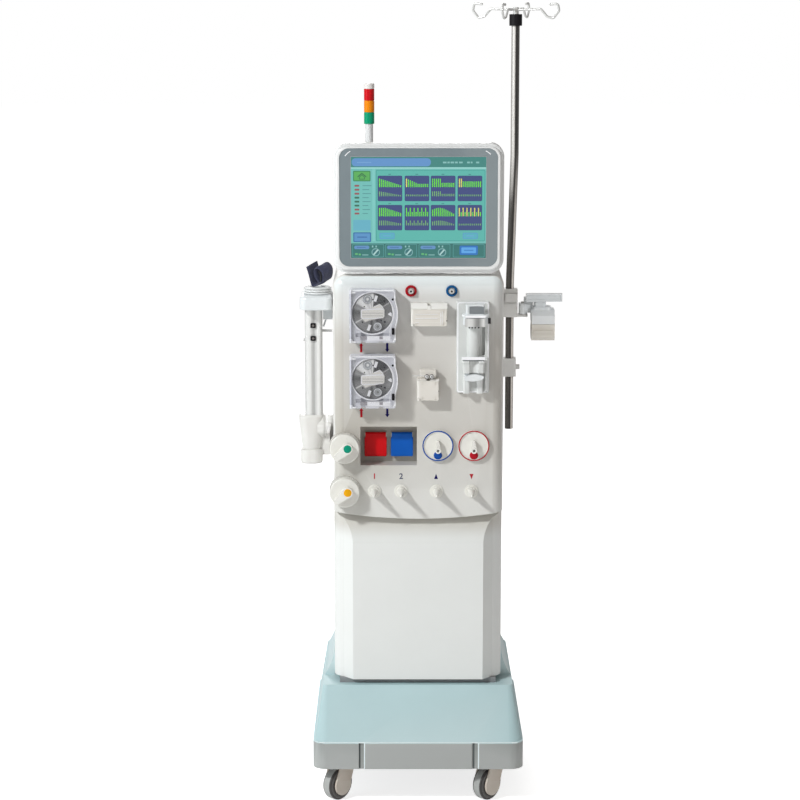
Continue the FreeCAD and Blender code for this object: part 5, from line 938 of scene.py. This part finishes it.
picture_finish = bpy.data.materials.new("lit picture")
picture_finish.use_nodes = True
tree = picture_finish.node_tree
surface = tree.nodes["Principled BSDF"]
drawing = add(tree, "ShaderNodeVertexColor", layer_name="picture")
place = tree.nodes.new("ShaderNodeTexCoord")
cells = add(tree, "ShaderNodeTexNoise", Scale=900.0, Detail=1.0)
wire(tree, (place.outputs["Object"], cells.inputs["Vector"]))
glow = blended(tree, arithmetic(tree, "MULTIPLY", cells.outputs[0], 0.05), drawing.outputs[0], (1, 1, 1, 1))
dull = blended(tree, 1.0, glow, (0.3, 0.3, 0.3, 1.0), blend="MULTIPLY")
wire(tree, (dull, surface.inputs["Base Color"]), (glow, surface.inputs["Emission Color"]))
surface.inputs["Emission Strength"].default_value = 0.74
surface.inputs["Roughness"].default_value = 0.3
surface.inputs["Specular IOR Level"].default_value = 0.3
picture = piece(build_picture(), "screen_picture", picture_finish, "monitor")

# %% [markdown]
# ### The charts
# Eight small charts, each with a tall row of bars over a short one. The bar heights follow simple rules: falling,
# stepped, alternating or arched. The scatter tree stretches one box to each height.

# %% Chart bars
RULES = [
    lambda k: 1.0 - 0.07 * k, lambda k: max(0.38, 1.0 - 0.1 * k), lambda k: 1.0 if k < 5 else 0.5,
    lambda k: 1.0 if k < 2 else 0.68, lambda k: 1.0 if k < 4 else 1.0 - 0.075 * (k - 3),
    lambda k: 1.0 if k % 2 == 0 else 0.52, lambda k: 0.55 + 0.45 * math.sin(math.pi * (k + 2) / 11.0),
    lambda k: 1.0 if k % 2 == 0 else 0.5,
]
bar_mould = bmesh.new()
block(bar_mould, -0.5, 0.5, -0.5, 0.5, 0.0, 1.0)
bar_mould = shape_object(bar_mould, "bar_mould")
GOLD_BARS = {1: (0,), 3: (0, 1), 7: (0, 2, 4, 6, 8, 10)}
BAR_PITCH, BAR_THICK, TALL_BAR, SHORT_BAR = 4.3, 0.12, 19, 11
bar_y = screen_y - 0.32 * MM
bright, dim, gold = [], [], []
for chart, rule in enumerate(RULES):
    u0 = (60, 120.5, 179, 239)[chart % 4] + 4
    v0 = (128, 62.5)[chart // 4]
    for k in range(12):
        x = screen_left + (u0 + k * BAR_PITCH) * MM
        tall = max(0.12, min(1.0, rule(k)))
        row = gold if k in GOLD_BARS.get(chart, ()) else bright
        row.append(((x, bar_y, screen_bottom + (v0 + 31.5) * MM), (2.3 * MM, BAR_THICK * MM, TALL_BAR * tall * MM)))
        short = 0.36 if chart in (1, 3, 7) else tall
        dim.append(((x, bar_y, screen_bottom + (v0 + 11) * MM), (2.0 * MM, BAR_THICK * MM, SHORT_BAR * short * MM)))


def lit_bar(name, colour):
    """A bar of light: it glows a little so that the room's light cannot wash it out."""
    made = printed(name, colour)
    surface = part_of(made.node_tree, "BSDF_PRINCIPLED")
    surface.inputs["Emission Color"].default_value = linear(*colour)
    surface.inputs["Emission Strength"].default_value = 0.45
    return made


bar_green = lit_bar("bar green", (94, 190, 60))
bar_dim = lit_bar("bar dim", (104, 152, 98))
bar_gold = lit_bar("bar gold", (196, 190, 92))
for label, bars, finish in (("chart_bars", bright, bar_green), ("chart_bars_small", dim, bar_dim),
                            ("chart_bars_gold", gold, bar_gold)):
    places, stretches = zip(*bars)
    scattered(label, bar_mould, places, finish, "monitor", stretches=stretches)

# %% [markdown]
# ### The glass
# The bezel behind the glass is printed mid grey with a darker line round the picture. The picture lies in front
# of the printed layer, so the glass itself only needs the grey print and a clear, glossy coat.

# %% Glass finish
glass_print = plastic("glass print", (126, 138, 143), (118, 130, 136), gloss=0.1, grain=0.0, Coat_Weight=1.0,
                      effect={"Edge Light": 0.0})
dress("monitor_glass", glass_print)


def build_picture_edge():
    bm = bmesh.new()
    edge = 1.6 * MM
    x0, x1 = screen_left - edge, screen_left + screen_width + edge
    z0, z1 = screen_bottom - edge, screen_bottom + screen_height + edge
    y0, y1 = screen_y - 0.02 * MM, screen_y + 0.1 * MM
    for left, right, low, high in ((x0, x0 + edge, z0, z1), (x1 - edge, x1, z0, z1),
                                   (x0 + edge, x1 - edge, z0, z0 + edge), (x0 + edge, x1 - edge, z1 - edge, z1)):
        block(bm, left, right, y0, y1, low, high)
    return bm


# Glints: painted highlights at the glass's top corners.
glints = bmesh.new()
glass_y = glass_low.y - 0.2 * MM
LEFT_GLINT = [(-164.5, 248.0), (-157.5, 255.5), (-152.5, 258.5)]
RIGHT_GLINT = [(150.0, 259.0), (155.0, 257.0), (161.0, 252.0)]
for line in (LEFT_GLINT, RIGHT_GLINT):
    strip(glints, [(x * MM, glass_low.z + z * MM) for x, z in line], 1.7 * MM, glass_y, glass_y + 0.3 * MM)
piece(glints, "glass_glints", highlight_white, "monitor")
edge_print = plastic("picture edge", (66, 76, 86), gloss=0.25)
piece(build_picture_edge(), "picture_edge", edge_print, "monitor")

# %% [markdown]
# ## Markings on the panel
# Arrows show which way blood flows through each pump, triangles mark the two dialysate lines, and plain numbers
# mark the two concentrate lines. On the machine they are printed, so they stand only a hair off the surface.

# %% Arrows and triangles
panel_y = -200 * MM
ink = 0.15 * MM


def arrow(bm, x, tip, tail, width, head, material=0):
    way = 1 if tip > tail else -1
    neck = tip - way * head
    half = width / 2
    plate(bm, [(x - half * 0.6, tail), (x + half * 0.6, tail), (x + half * 0.6, neck), (x + half * 1.1, neck),
               (x, tip), (x - half * 1.1, neck), (x - half * 0.6, neck)], panel_y - ink, panel_y + ink, material)


marks = bmesh.new()
for node in ("pump_head_upper", "pump_head_lower"):
    low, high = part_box(node)
    arrow(marks, -129.5 * MM, low.z - 5.0 * MM, low.z - 27 * MM, 8.8 * MM, 6.5 * MM, 0)
    arrow(marks, -70.5 * MM, low.z - 27 * MM, low.z - 5.0 * MM, 8.8 * MM, 7.5 * MM, 1)
for x, up, index in ((41 * MM, 1, 1), (122 * MM, -1, 0)):
    z = 742 * MM
    plate(marks, [(x - 4.6 * MM, z - up * 6 * MM), (x + 4.6 * MM, z - up * 6 * MM), (x, z + up * 6.5 * MM)],
          panel_y - ink, panel_y + ink, index)
piece(marks, "flow_marks", [mark_red, mark_navy], "machine")


def numeral(name, text, x, z, height, finish):
    data = bpy.data.curves.new(name, "FONT")
    data.body = text
    data.size = height * 1.4
    data.extrude = ink
    data.offset = 0.35 * MM
    data.align_x = "CENTER"
    data.align_y = "CENTER"
    loose = bpy.data.objects.new(name + "_text", data)
    scene.collection.objects.link(loose)
    bpy.context.view_layer.update()
    mesh = bpy.data.meshes.new_from_object(loose.evaluated_get(bpy.context.evaluated_depsgraph_get()))
    bpy.data.objects.remove(loose)
    mesh.transform(Matrix.Translation((x, panel_y, z)) @ Matrix.Rotation(math.radians(90), 4, "X"))
    mesh.materials.clear()
    mesh.materials.append(finish)
    obj = bpy.data.objects.new(name, mesh)
    scene.collection.objects.link(obj)
    return hand_over(obj, "machine")


numeral("mark_one", "1", -100 * MM, 742 * MM, 13 * MM, mark_red)
numeral("mark_two", "2", -39 * MM, 742 * MM, 13 * MM, mark_grey)

# %% [markdown]
# ## Rings, dots and dials
# The coupling dials have a thin coloured rim and a round marker; the pressure ports have a thick coloured ring
# round a bright metal seat; the two selector knobs carry a green and a yellow dot.

# %% Coloured rings and dots
dial_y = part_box("coupling_ports")[1].y - 33 * MM
dial_z = 815 * MM
for label, x, finish in (("blue", 45 * MM, mark_blue), ("red", 127 * MM, mark_red)):
    bm = bmesh.new()
    profile = [(35.2, 1.2), (35.5, 0.4), (34.8, -0.5), (33.2, -0.5), (32.3, 0.2), (32.3, 1.2), (35.2, 1.2)]
    lathe(bm, profile, (x, dial_y, dial_z), "y", 72)
    dot = [(0, -0.1), (9.0, -0.1), (9.7, 0.3), (9.8, 1.2), (0, 1.2)]
    lathe(bm, dot, (x, dial_y + 0.3 * MM, dial_z - 22.0 * MM), "y", 40)
    piece(bm, "dial_ring_" + label, finish, "machine")

port_z = 1170 * MM
for label, x, finish in (("red", -16.6 * MM, mark_port_red), ("blue", 75.3 * MM, mark_port_blue)):
    bm = bmesh.new()
    ring = [(13.0, 5.2), (13.1, 1.2), (12.0, -0.3), (10.2, -0.8), (8.3, -0.3), (7.5, 1.0), (7.3, 4.0), (13.0, 5.2)]
    lathe(bm, ring, (x, -205 * MM, port_z), "y", 56)
    piece(bm, "port_ring_" + label, finish, "machine")
    bm = bmesh.new()
    seat = [(6.9, 3.4), (6.4, 1.0), (5.9, -3.0), (5.2, -7.2), (4.6, -7.8), (3.0, -7.8), (2.4, -7.2), (2.4, 6.0)]
    lathe(bm, seat, (x, -205 * MM, port_z), "y", 40)
    lathe(bm, [(0, -7.4), (2.5, -7.4), (2.5, 0)], (x, -205 * MM, port_z), "y", 24, 1)
    piece(bm, "port_seat_" + label, [chrome, mark_black], "machine")

for label, joint, finish in (("green", "knob_upper_turn", mark_green), ("yellow", "knob_lower_turn", mark_yellow)):
    hub = at(joint)
    low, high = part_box("selector_knob_" + joint.split("_")[1])
    bm = bmesh.new()
    dot = [(0, -0.35), (8.6, -0.3), (9.3, 0.1), (9.4, 0.8), (0, 0.8)]
    lathe(bm, dot, (hub.x + 7 * MM, low.y, hub.z + 3.5 * MM), "y", 40)
    piece(bm, "knob_dot_" + label, finish, "knob_" + joint.split("_")[1])

# %% [markdown]
# ## The pumps
# Each pump has a ribbed folding grip on its rotor, two pale guide bars, screws and a lip round the race. The
# clear cover has a black catch and a black stud. The bright lines along the grip, the roller rims, the race lip
# and the cover's moulded edges are painted highlights; the dark strips between the grip's ribs and in the tube
# notches are painted shade.

# %% Pump pieces
GRIP_WINGS = [(-25.5, 4.6), (-2.3, 10.8), (3.9, 16), (16.3, 21.1), (22.5, 16), (26, 8.8), (26, -4.6),
              (24.5, -9.8), (3.9, -14.4), (-6.4, -17), (-16.7, -21.1), (-23.9, -13)]
GRIP_BAR = [(-26.6, 6.2), (-24.2, 9.2), (-2.3, 11.2), (21, 11.8), (25.4, 10.6), (27, 7.5), (26.6, -7),
            (24, -10.6), (3.9, -12.9), (-23.5, -12.9), (-26.6, -10.5)]
COVER_RIM = [(-51, 51.6), (47, 52.0), (49.5, 47), (50.3, 31.4), (52.4, 23.2), (55.0, 12.9), (56.0, 2.6),
             (55.4, -9.8), (53.2, -20.1), (51.0, -28.4), (51.0, -55), (46.2, -64.0)]
COVER_FOLD = [(36, 31), (40.5, 24), (44.4, 12.9), (46.0, 0.5), (45.3, -13.9), (42.6, -24.2), (39.6, -34.5),
              (38.6, -46.9), (38.9, -63)]
SCREWS = [(27.1, 26.3, 2.0), (27.6, -20.1, 2.3), (19.6, -17.2, 1.5), (1.2, 30.6, 1.8), (-22.6, -20.8, 1.8),
          (-18.4, 14.6, 1.4)]


def placed(outline, hub):
    return [(hub.x + u * MM, hub.z + v * MM) for u, v in outline]


def rectangle(x0, x1, z0, z1):
    return [(x0, z0), (x1, z0), (x1, z1), (x0, z1)]


def rotor_piece(hub, face):
    bm = bmesh.new()
    plate(bm, placed(GRIP_WINGS, hub), face + 0.5 * MM, face + 2.8 * MM)
    bar_back = face + 0.4 * MM
    plate(bm, placed(GRIP_BAR, hub), face - 1.4 * MM, bar_back)
    # ribs alternate with darker strips: painted shade between the ribs
    for z, index in ((3.4, 0), (0.4, 3), (-2.6, 0), (-5.6, 3), (-8.4, 0)):
        block(bm, hub.x - 23 * MM, hub.x + 24 * MM, face - 1.75 * MM, face - 1.2 * MM, hub.z + (z - 0.9) * MM,
              hub.z + (z + 0.9) * MM, 0.0, index)
    # bright strips along the grip's edges are painted highlights; the strip along the lower wing is painted shade
    top_edge = [(-25.6, 4.4), (-22.6, 7.6), (-2.3, 9.6), (21, 10.2), (24.6, 8.8)]
    strip(bm, placed(top_edge, hub), 2.8 * MM, face - 1.7 * MM, face - 1.2 * MM, 1)
    strip(bm, placed([(-25.2, 4.4), (-25.2, -9.6), (-22.6, -11.6), (4, -11.8), (23.2, -9.6)], hub), 1.9 * MM,
          face - 1.7 * MM, face - 1.2 * MM, 1)
    strip(bm, placed([(3.9, 14.6), (16, 19.4), (22.6, 13.6), (25.2, 8)], hub), 1.9 * MM, face + 0.2 * MM,
          face + 0.7 * MM, 1)
    strip(bm, placed([(-24.2, -12.4), (-16.0, -19.8), (-6.0, -15.8), (6, -13.4)], hub), 1.7 * MM, face + 0.2 * MM,
          face + 0.7 * MM, 3)
    bar = rectangle(-3.2, 3.2, -7, 7)
    for x, z in ((7.3, 33.0), (-7.8, -32.8)):
        plate(bm, placed(turned(bar, x, z, 18), hub), face + 0.6 * MM, face + 2.9 * MM, 1)
    plate(bm, placed([(34, -2.1), (40.5, 2.2), (43.5, -1), (43, -8), (37.5, -5)], hub), face + 2.4 * MM,
          face + 3.1 * MM, 1)
    for x, z, radius in SCREWS:
        lathe(bm, [(0, 0), (radius, 0), (radius, 0.7)],
              (hub.x + x * MM, face + 2.5 * MM, hub.z + z * MM), "y", 20, 2)
    return bm


def door_piece(hub, face):
    bm = bmesh.new()
    front, back = face - 0.35 * MM, face + 0.3 * MM
    # painted highlights along the clear cover's moulded edges
    strip(bm, placed(COVER_RIM, hub), 1.5 * MM, front, back)
    strip(bm, placed(COVER_FOLD, hub), 1.0 * MM, front, back)
    strip(bm, placed([(-38, 47.2), (-50, 47.2)], hub), 2.4 * MM, front, back)
    strip(bm, placed([(-50, -64), (-38, -64)], hub), 2.0 * MM, front, back)
    strip(bm, placed([(50.9, -42), (50.9, -60)], hub), 1.6 * MM, front - 0.1 * MM, back)
    lathe(bm, [(0, -1.3), (2.4, -1.2), (2.6, 0.3), (0, 0.3)],
          (hub.x + 45.5 * MM, face, hub.z + 32 * MM), "y", 20, 1)
    plate(bm, rounded_rect(hub.x + 43.2 * MM, hub.x + 49.6 * MM, hub.z - 47.6 * MM, hub.z - 32.4 * MM, 1.8 * MM),
          face - 2.7 * MM, back, 1)
    return bm


for name in ("upper", "lower"):
    hub = at("rotor_spin_" + name)
    head_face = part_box("pump_rotor_" + name)[0].y + 0.1 * MM
    piece(rotor_piece(hub, head_face), "rotor_grip_" + name, [grip_skin, highlight_white, mark_black, grip_shade],
          "rotor_" + name, edge_angle=25.0)
    for side in ("a", "b"):
        pin = at("roller_spin_%s_%s" % (name, side))
        # a painted highlight round each roller's front rim
        bm = bmesh.new()
        lathe(bm, [(8.6, 0.6), (8.5, -0.2), (7.6, -0.2), (7.5, 0.6)],
              (pin.x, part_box("pump_roller_%s_%s" % (name, side))[0].y, pin.z), "y", 48)
        piece(bm, "roller_ring_%s_%s" % (name, side), highlight_white, "roller_%s_%s" % (name, side))
    bm = bmesh.new()
    # The bright lip round the race and the pale bar below it are painted highlights; the two dark notches are
    # painted shade where the tubes leave.
    lip = [(45.8, 2.4), (45.9, 0.4), (46.5, -0.5), (47.6, -0.6), (49.4, 0.1), (49.8, 0.8)]
    lathe(bm, lip, (hub.x, head_face, hub.z), "y", 96)
    plate(bm, placed([(-48.6, -62), (-38, -62), (-38, -30), (-44, -18), (-46, 0), (-44, 18), (-38, 30), (-38, 45),
                      (-48.6, 45)], hub), head_face - 0.25 * MM, head_face + 0.3 * MM, 1)
    plate(bm, placed(rectangle(-12, 38, -62, -51.5), hub), head_face - 0.3 * MM,
          head_face + 0.3 * MM, 0)
    plate(bm, placed(rectangle(-28, -12.6, -60, -52), hub), head_face - 0.3 * MM,
          head_face + 0.3 * MM, 2)
    plate(bm, placed(rectangle(15.5, 23, -59, -52.6), hub), head_face - 0.5 * MM,
          head_face + 0.3 * MM, 2)
    piece(bm, "race_lip_" + name, [highlight_white, pump_band, port_shadow], "machine", edge_angle=25.0)
    door_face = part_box("pump_door_" + name)[0].y + 2.2 * MM
    piece(door_piece(hub, door_face), "cover_rim_" + name, [highlight_white, mark_black], "door_" + name,
          edge_angle=25.0)

# %% [markdown]
# ## Small fittings
# Chrome pins on the line clamp, a grey window in the syringe carriage, hub caps and treads on the wheels, and the
# screws of the back cover. Each is small, but together they make the machine look assembled and not cast.

# %% Clamp pins and carriage window
clamp_low, clamp_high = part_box("line_clamp")
pin_z = 978.5 * MM
pin_y = -231 * MM
bm = bmesh.new()
for x in (19.5 * MM, 30.4 * MM):
    pin = [(0, -4.6), (1.6, -4.4), (3.2, -3.4), (4.3, -1.6), (4.5, 0.2), (3.9, 2.2), (3.2, 3.4), (3.2, 9.0)]
    lathe(bm, pin, (x, pin_y, pin_z), "y", 32)
lathe(bm, [(0, 0), (1.0, 0.2), (1.1, 30), (0, 30)],
      (clamp_low.x, -226.5 * MM, 980 * MM), "x", 16)
for x in (19.5 * MM, 30.4 * MM):
    lathe(bm, [(0, -4.8), (1.5, -4.7), (1.6, -4.0)], (x, pin_y, pin_z), "y", 20, 1)
    lathe(bm, [(4.6, 0.1), (5.4, 0.8), (5.2, 3.2)], (x, pin_y, pin_z), "y", 32, 1)
piece(bm, "clamp_pins", [chrome, mark_black], "machine")

door_low, door_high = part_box("air_detector_door")
bm = bmesh.new()
# each rib is a painted highlight over a painted shadow strip; the two upright strips are painted highlights too
for share in (0.25, 0.5, 0.75):
    z = door_low.z + share * (door_high.z - door_low.z) - 2 * MM
    for low, high, index in ((0.0, 1.0, 0), (-1.1, 0.0, 1)):
        plate(bm, rounded_rect(door_low.x + 9 * MM, door_high.x - 22 * MM, z + low * MM, z + high * MM, 0.3 * MM, 2),
              door_low.y + 0.6 * MM, door_low.y + 2.4 * MM, index)
for x in (16.5, 13.0):
    plate(bm, rounded_rect(door_high.x - x * MM, door_high.x - (x - 1.2) * MM, door_low.z + 4 * MM,
                           door_high.z - 5 * MM, 0.3 * MM, 2), door_low.y + 0.6 * MM, door_low.y + 2.4 * MM)
slot_half = 3.7 * MM
hood_low, hood_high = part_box("air_detector")
slot_x = (hood_low.x + hood_high.x) / 2
tongue_low, tongue_high = door_high.z - 0.4 * MM, hood_high.z - 4.6 * MM
plate(bm, rectangle(slot_x - slot_half, slot_x + slot_half, tongue_low, tongue_high), hood_low.y - 0.1 * MM,
      hood_low.y + 1.4 * MM, 2)
piece(bm, "detector_ribs", [highlight_white, rib_shadow, knob_white], "detector_door", edge_angle=25.0)
for label, node, body, lift in (("detector", "air_detector_door", "detector_door", 12.0),
                                ("clamp", "line_clamp_door", "clamp_door", 21.5)):
    low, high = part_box(node)
    bm = bmesh.new()
    lathe(bm, [(0, -0.5), (1.2, -0.4), (1.3, 0.6)],
          (high.x - 2.0 * MM, low.y + 1.4 * MM, low.z + lift * MM), "y", 20)
    piece(bm, label + "_catch", mark_black, body)

PLATE_FACE = -214 * MM
pump_low, pump_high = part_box("syringe_pump_body")
bm = bmesh.new()
inset = 3.2 * MM
# a bright line round the pump's face and a bright seat in painted highlight white, with a painted shadow under the
# seat
outline = rounded_rect(pump_low.x + inset, pump_high.x - inset, pump_low.z + inset, pump_high.z - inset, 4 * MM, 5)
strip(bm, outline + outline[:2], 2.6 * MM, PLATE_FACE - 0.3 * MM, PLATE_FACE + 3.0 * MM)
seat_z = 1022.0
pad(bm, 97, 150, seat_z - 3.5, seat_z + 3.5, 1.2, pump_low.y - 0.5 * MM, pump_low.y + 0.4 * MM)
pad(bm, 100, 148, seat_z - 6.0, seat_z - 3.7, 0.8, pump_low.y - 0.3 * MM, pump_low.y + 0.4 * MM, 1)
piece(bm, "syringe_outline", [highlight_white, groove_shade], "machine", edge_angle=25.0)

bm = bmesh.new()
WINDOW_FACE, COLLAR_FACE = -250.3 * MM, -255.6 * MM
pad(bm, 114, 147, 1124, 1140.5, 1.6, WINDOW_FACE, WINDOW_FACE + 1.7 * MM)
# the bright strip above the collar is a painted highlight; the collar's own tones are painted reflections
pad(bm, 105, 150, 1116, 1121, 1.0, COLLAR_FACE + 0.2 * MM, COLLAR_FACE + 1.0 * MM, 1)
pad(bm, 103.6, 149.6, 1095.4, 1114.4, 1.5, COLLAR_FACE, COLLAR_FACE + 1.2 * MM, 2)
for x in (114.0, 120.4, 127.2, 135.0):
    block(bm, (x - 1.4) * MM, (x + 1.4) * MM, COLLAR_FACE + 1.0 * MM, COLLAR_FACE + 4.6 * MM, 1092.2 * MM,
          1095.8 * MM, 0.0, 3)
piece(bm, "carriage_window", [window_grey, highlight_white, drum_silver, mark_black], "carriage")

# %% Column buttons and hook hub
column_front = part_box("arm_column")[0].y
bm = bmesh.new()
for z in (1077.5 * MM, 1047.8 * MM):
    plate(bm, rounded_rect(COLUMN_X - 6.2 * MM, COLUMN_X + 6.2 * MM, z - 5.6 * MM, z + 5.6 * MM, 2 * MM),
          column_front - 1.6 * MM, column_front + 2.0 * MM)
    plate(bm, rounded_rect(COLUMN_X - 2.6 * MM, COLUMN_X + 2.6 * MM, z - 2.2 * MM, z + 2.2 * MM, 1 * MM),
          column_front - 1.9 * MM, column_front - 1.4 * MM, 1)
piece(bm, "column_buttons", [mark_black, steel], "side_arm")

hook_axis = at("hook_turn")
sleeve_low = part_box("hook_head")[0].z
sleeve_top = sleeve_low + 26 * MM
bm = bmesh.new()
lathe(bm, [(10.0, -0.3), (14.2, -0.3), (14.9, 0.5), (14.9, 25.5),
           (14.2, 26.3), (7.2, 26.3)], (hook_axis.x, hook_axis.y, sleeve_low), "z", 48)
piece(bm, "hook_sleeve", mark_black, "hooks")

# %% Base edges and grooves, with painted highlights and shade
SKIRT_TOP, SKIRT_LOW, BASE_FRONT = 150 * MM, 88 * MM, -330 * MM
bm = bmesh.new()
# A dark strip inside each groove is painted shade; the bright strip beside it and the line along the skirt's top are
# painted highlights.
for middle in (-130.5 * MM, 129.5 * MM):
    plate(bm, rounded_rect(middle - 4.6 * MM, middle - 1.2 * MM, SKIRT_LOW, SKIRT_TOP - 1 * MM, 0.4 * MM, 2),
          BASE_FRONT + 2.6 * MM, BASE_FRONT + 3.2 * MM, 1)
    plate(bm, rounded_rect(middle + 6.8 * MM, middle + 9.4 * MM, SKIRT_LOW, SKIRT_TOP - 1 * MM, 0.4 * MM, 2),
          BASE_FRONT - 0.3 * MM, BASE_FRONT + 0.3 * MM)
block(bm, -226 * MM, 226 * MM, BASE_FRONT + 0.2 * MM, BASE_FRONT + 3.4 * MM, SKIRT_TOP - 1.4 * MM,
      SKIRT_TOP + 0.5 * MM)
piece(bm, "base_edges", [base_highlight, groove_shade], "machine", edge_angle=25.0)

# %% Wheel caps and treads
for corner in ("front_left", "front_right", "rear_left", "rear_right"):
    joint = JOINTS["roll_" + corner]
    hub, axle = Vector(joint["pos_m"]), Vector(joint["axis"]).normalized()
    bm = bmesh.new()
    for sign in (-1, 1):
        cap = [(0, 12.6), (4.0, 12.6), (5.0, 12.2), (9.0, 12.4), (11.5, 12.9), (12.0, 13.6), (10.0, 14.6), (0, 14.8)]
        lathe(bm, [(r, d * sign) for r, d in cap], hub, axle, 32)
    piece(bm, "wheel_cap_" + corner, tan_plastic, "wheel_" + corner)
    bm = bmesh.new()
    band = [(37.2, -8.6), (37.62, -8.2), (37.62, 8.2), (37.2, 8.6)]
    lathe(bm, band, hub, axle, 64)
    piece(bm, "wheel_tread_" + corner, tread_rubber, "wheel_" + corner)

# %% Screws of the back cover
screw_bm = bmesh.new()
lathe(screw_bm, [(0, -2.2), (0.9, -2.2), (0.9, -1.3), (1.5, -1.3), (3.0, -1.9), (3.8, -1.0), (4.0, 0.2), (0, 0.2)],
      (0, 0, 0), "y", 20)
screw_mould = shape_object(screw_bm, "screw_mould")
COVER_SCREW_ROWS, COVER_SCREW_X = (324, 499, 513, 727.3, 941.7, 1156), 156
cover_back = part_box("service_cover")[1].y + 0.1 * MM
screw_places = [(x * MM, cover_back, z * MM) for z in COVER_SCREW_ROWS for x in (-COVER_SCREW_X, COVER_SCREW_X)]
scattered("cover_screws", screw_mould, screw_places, steel, "machine",
          turns=[(0, 0, math.pi)] * len(screw_places))
for mould in (bar_mould, screw_mould):
    bpy.data.objects.remove(mould)

# %% [markdown]
# ## The studio
# A white sweep, one small strong light from the upper left, softer ones from the left, the front and the back,
# and a narrow lamp on the dialyser holder, which the cabinet shades. The floor looks pure white to the camera
# but still takes the machine's shadow. World light fills the rest.

# %% Floor, lights and world
floor_mesh = bpy.data.meshes.new("studio_floor")
floor_mesh.from_pydata([(-30, -30, 0), (30, -30, 0), (30, 30, 0), (-30, 30, 0)], [], [(0, 1, 2, 3)])
floor = bpy.data.objects.new("studio_floor", floor_mesh)
scene.collection.objects.link(floor)
floor_paint = bpy.data.materials.new("studio white")
floor_paint.use_nodes = True
tree = floor_paint.node_tree
surface = tree.nodes["Principled BSDF"]
surface.inputs["Base Color"].default_value = (0.92, 0.92, 0.92, 1.0)
surface.inputs["Roughness"].default_value = 0.9
glow = tree.nodes.new("ShaderNodeLightPath")
white_to_camera = arithmetic(tree, "MULTIPLY_ADD", glow.outputs["Is Camera Ray"], 0.62)
tree.nodes[-1].inputs[2].default_value = 0.12
wire(tree, (white_to_camera, surface.inputs["Emission Strength"]))
surface.inputs["Emission Color"].default_value = (1, 1, 1, 1)
floor_mesh.materials.append(floor_paint)

world = bpy.data.worlds.new("studio world")
scene.world = world
world.use_nodes = True
tree = world.node_tree
sky = tree.nodes["Background"]
rays = tree.nodes.new("ShaderNodeLightPath")
white = tree.nodes.new("ShaderNodeBackground")
white.inputs["Color"].default_value = (1, 1, 1, 1)
white.inputs["Strength"].default_value = 1.0
sky.inputs["Color"].default_value = (1.0, 0.975, 0.945, 1)
sky.inputs["Strength"].default_value = 0.3
choose = tree.nodes.new("ShaderNodeMixShader")
seen = arithmetic(tree, "MAXIMUM", rays.outputs["Is Camera Ray"], rays.outputs["Is Transmission Ray"])
wire(tree, (seen, choose.inputs[0]), (sky.outputs[0], choose.inputs[1]), (white.outputs[0], choose.inputs[2]),
     (choose.outputs[0], tree.nodes["World Output"].inputs[0]))


def aimed(name, data, place, aim):
    obj = bpy.data.objects.new(name, data)
    obj.location = place
    obj.rotation_euler = (Vector(aim) - Vector(place)).to_track_quat("-Z", "Y").to_euler()
    scene.collection.objects.link(obj)


def soft_light(name, place, aim, width, height, watts, colour):
    data = bpy.data.lights.new(name, "AREA")
    data.shape = "RECTANGLE"
    data.size = width
    data.size_y = height
    data.energy = watts
    data.color = colour
    aimed(name, data, place, aim)


soft_light("key", (-2.7, -2.75, 3.5), (0, -0.2, 0.9), 0.4, 0.4, 135.0, (0.985, 1.0, 1.0))
soft_light("left", (-3.2, -1.4, 1.5), (0, -0.2, 1.0), 1.6, 2.4, 18.0, (0.86, 0.97, 1.0))
soft_light("front", (1.2, -4.6, 1.0), (0, -0.2, 0.7), 2.0, 2.0, 7.0, (1.0, 0.93, 0.84))
soft_light("back", (-0.6, 3.4, 2.6), (0, 0.2, 0.9), 2.0, 2.0, 50.0, (1.0, 1.0, 1.0))
lamp = bpy.data.lights.new("holder lamp", "SPOT")
lamp.energy = 70.0
lamp.spot_size = math.radians(11.0)
lamp.spot_blend = 0.5
lamp.shadow_soft_size = 0.15
aimed("holder lamp", lamp, (1.3, -1.7, 1.9), (0.4, -0.05, 1.13))
scene.view_settings.view_transform = "Standard"
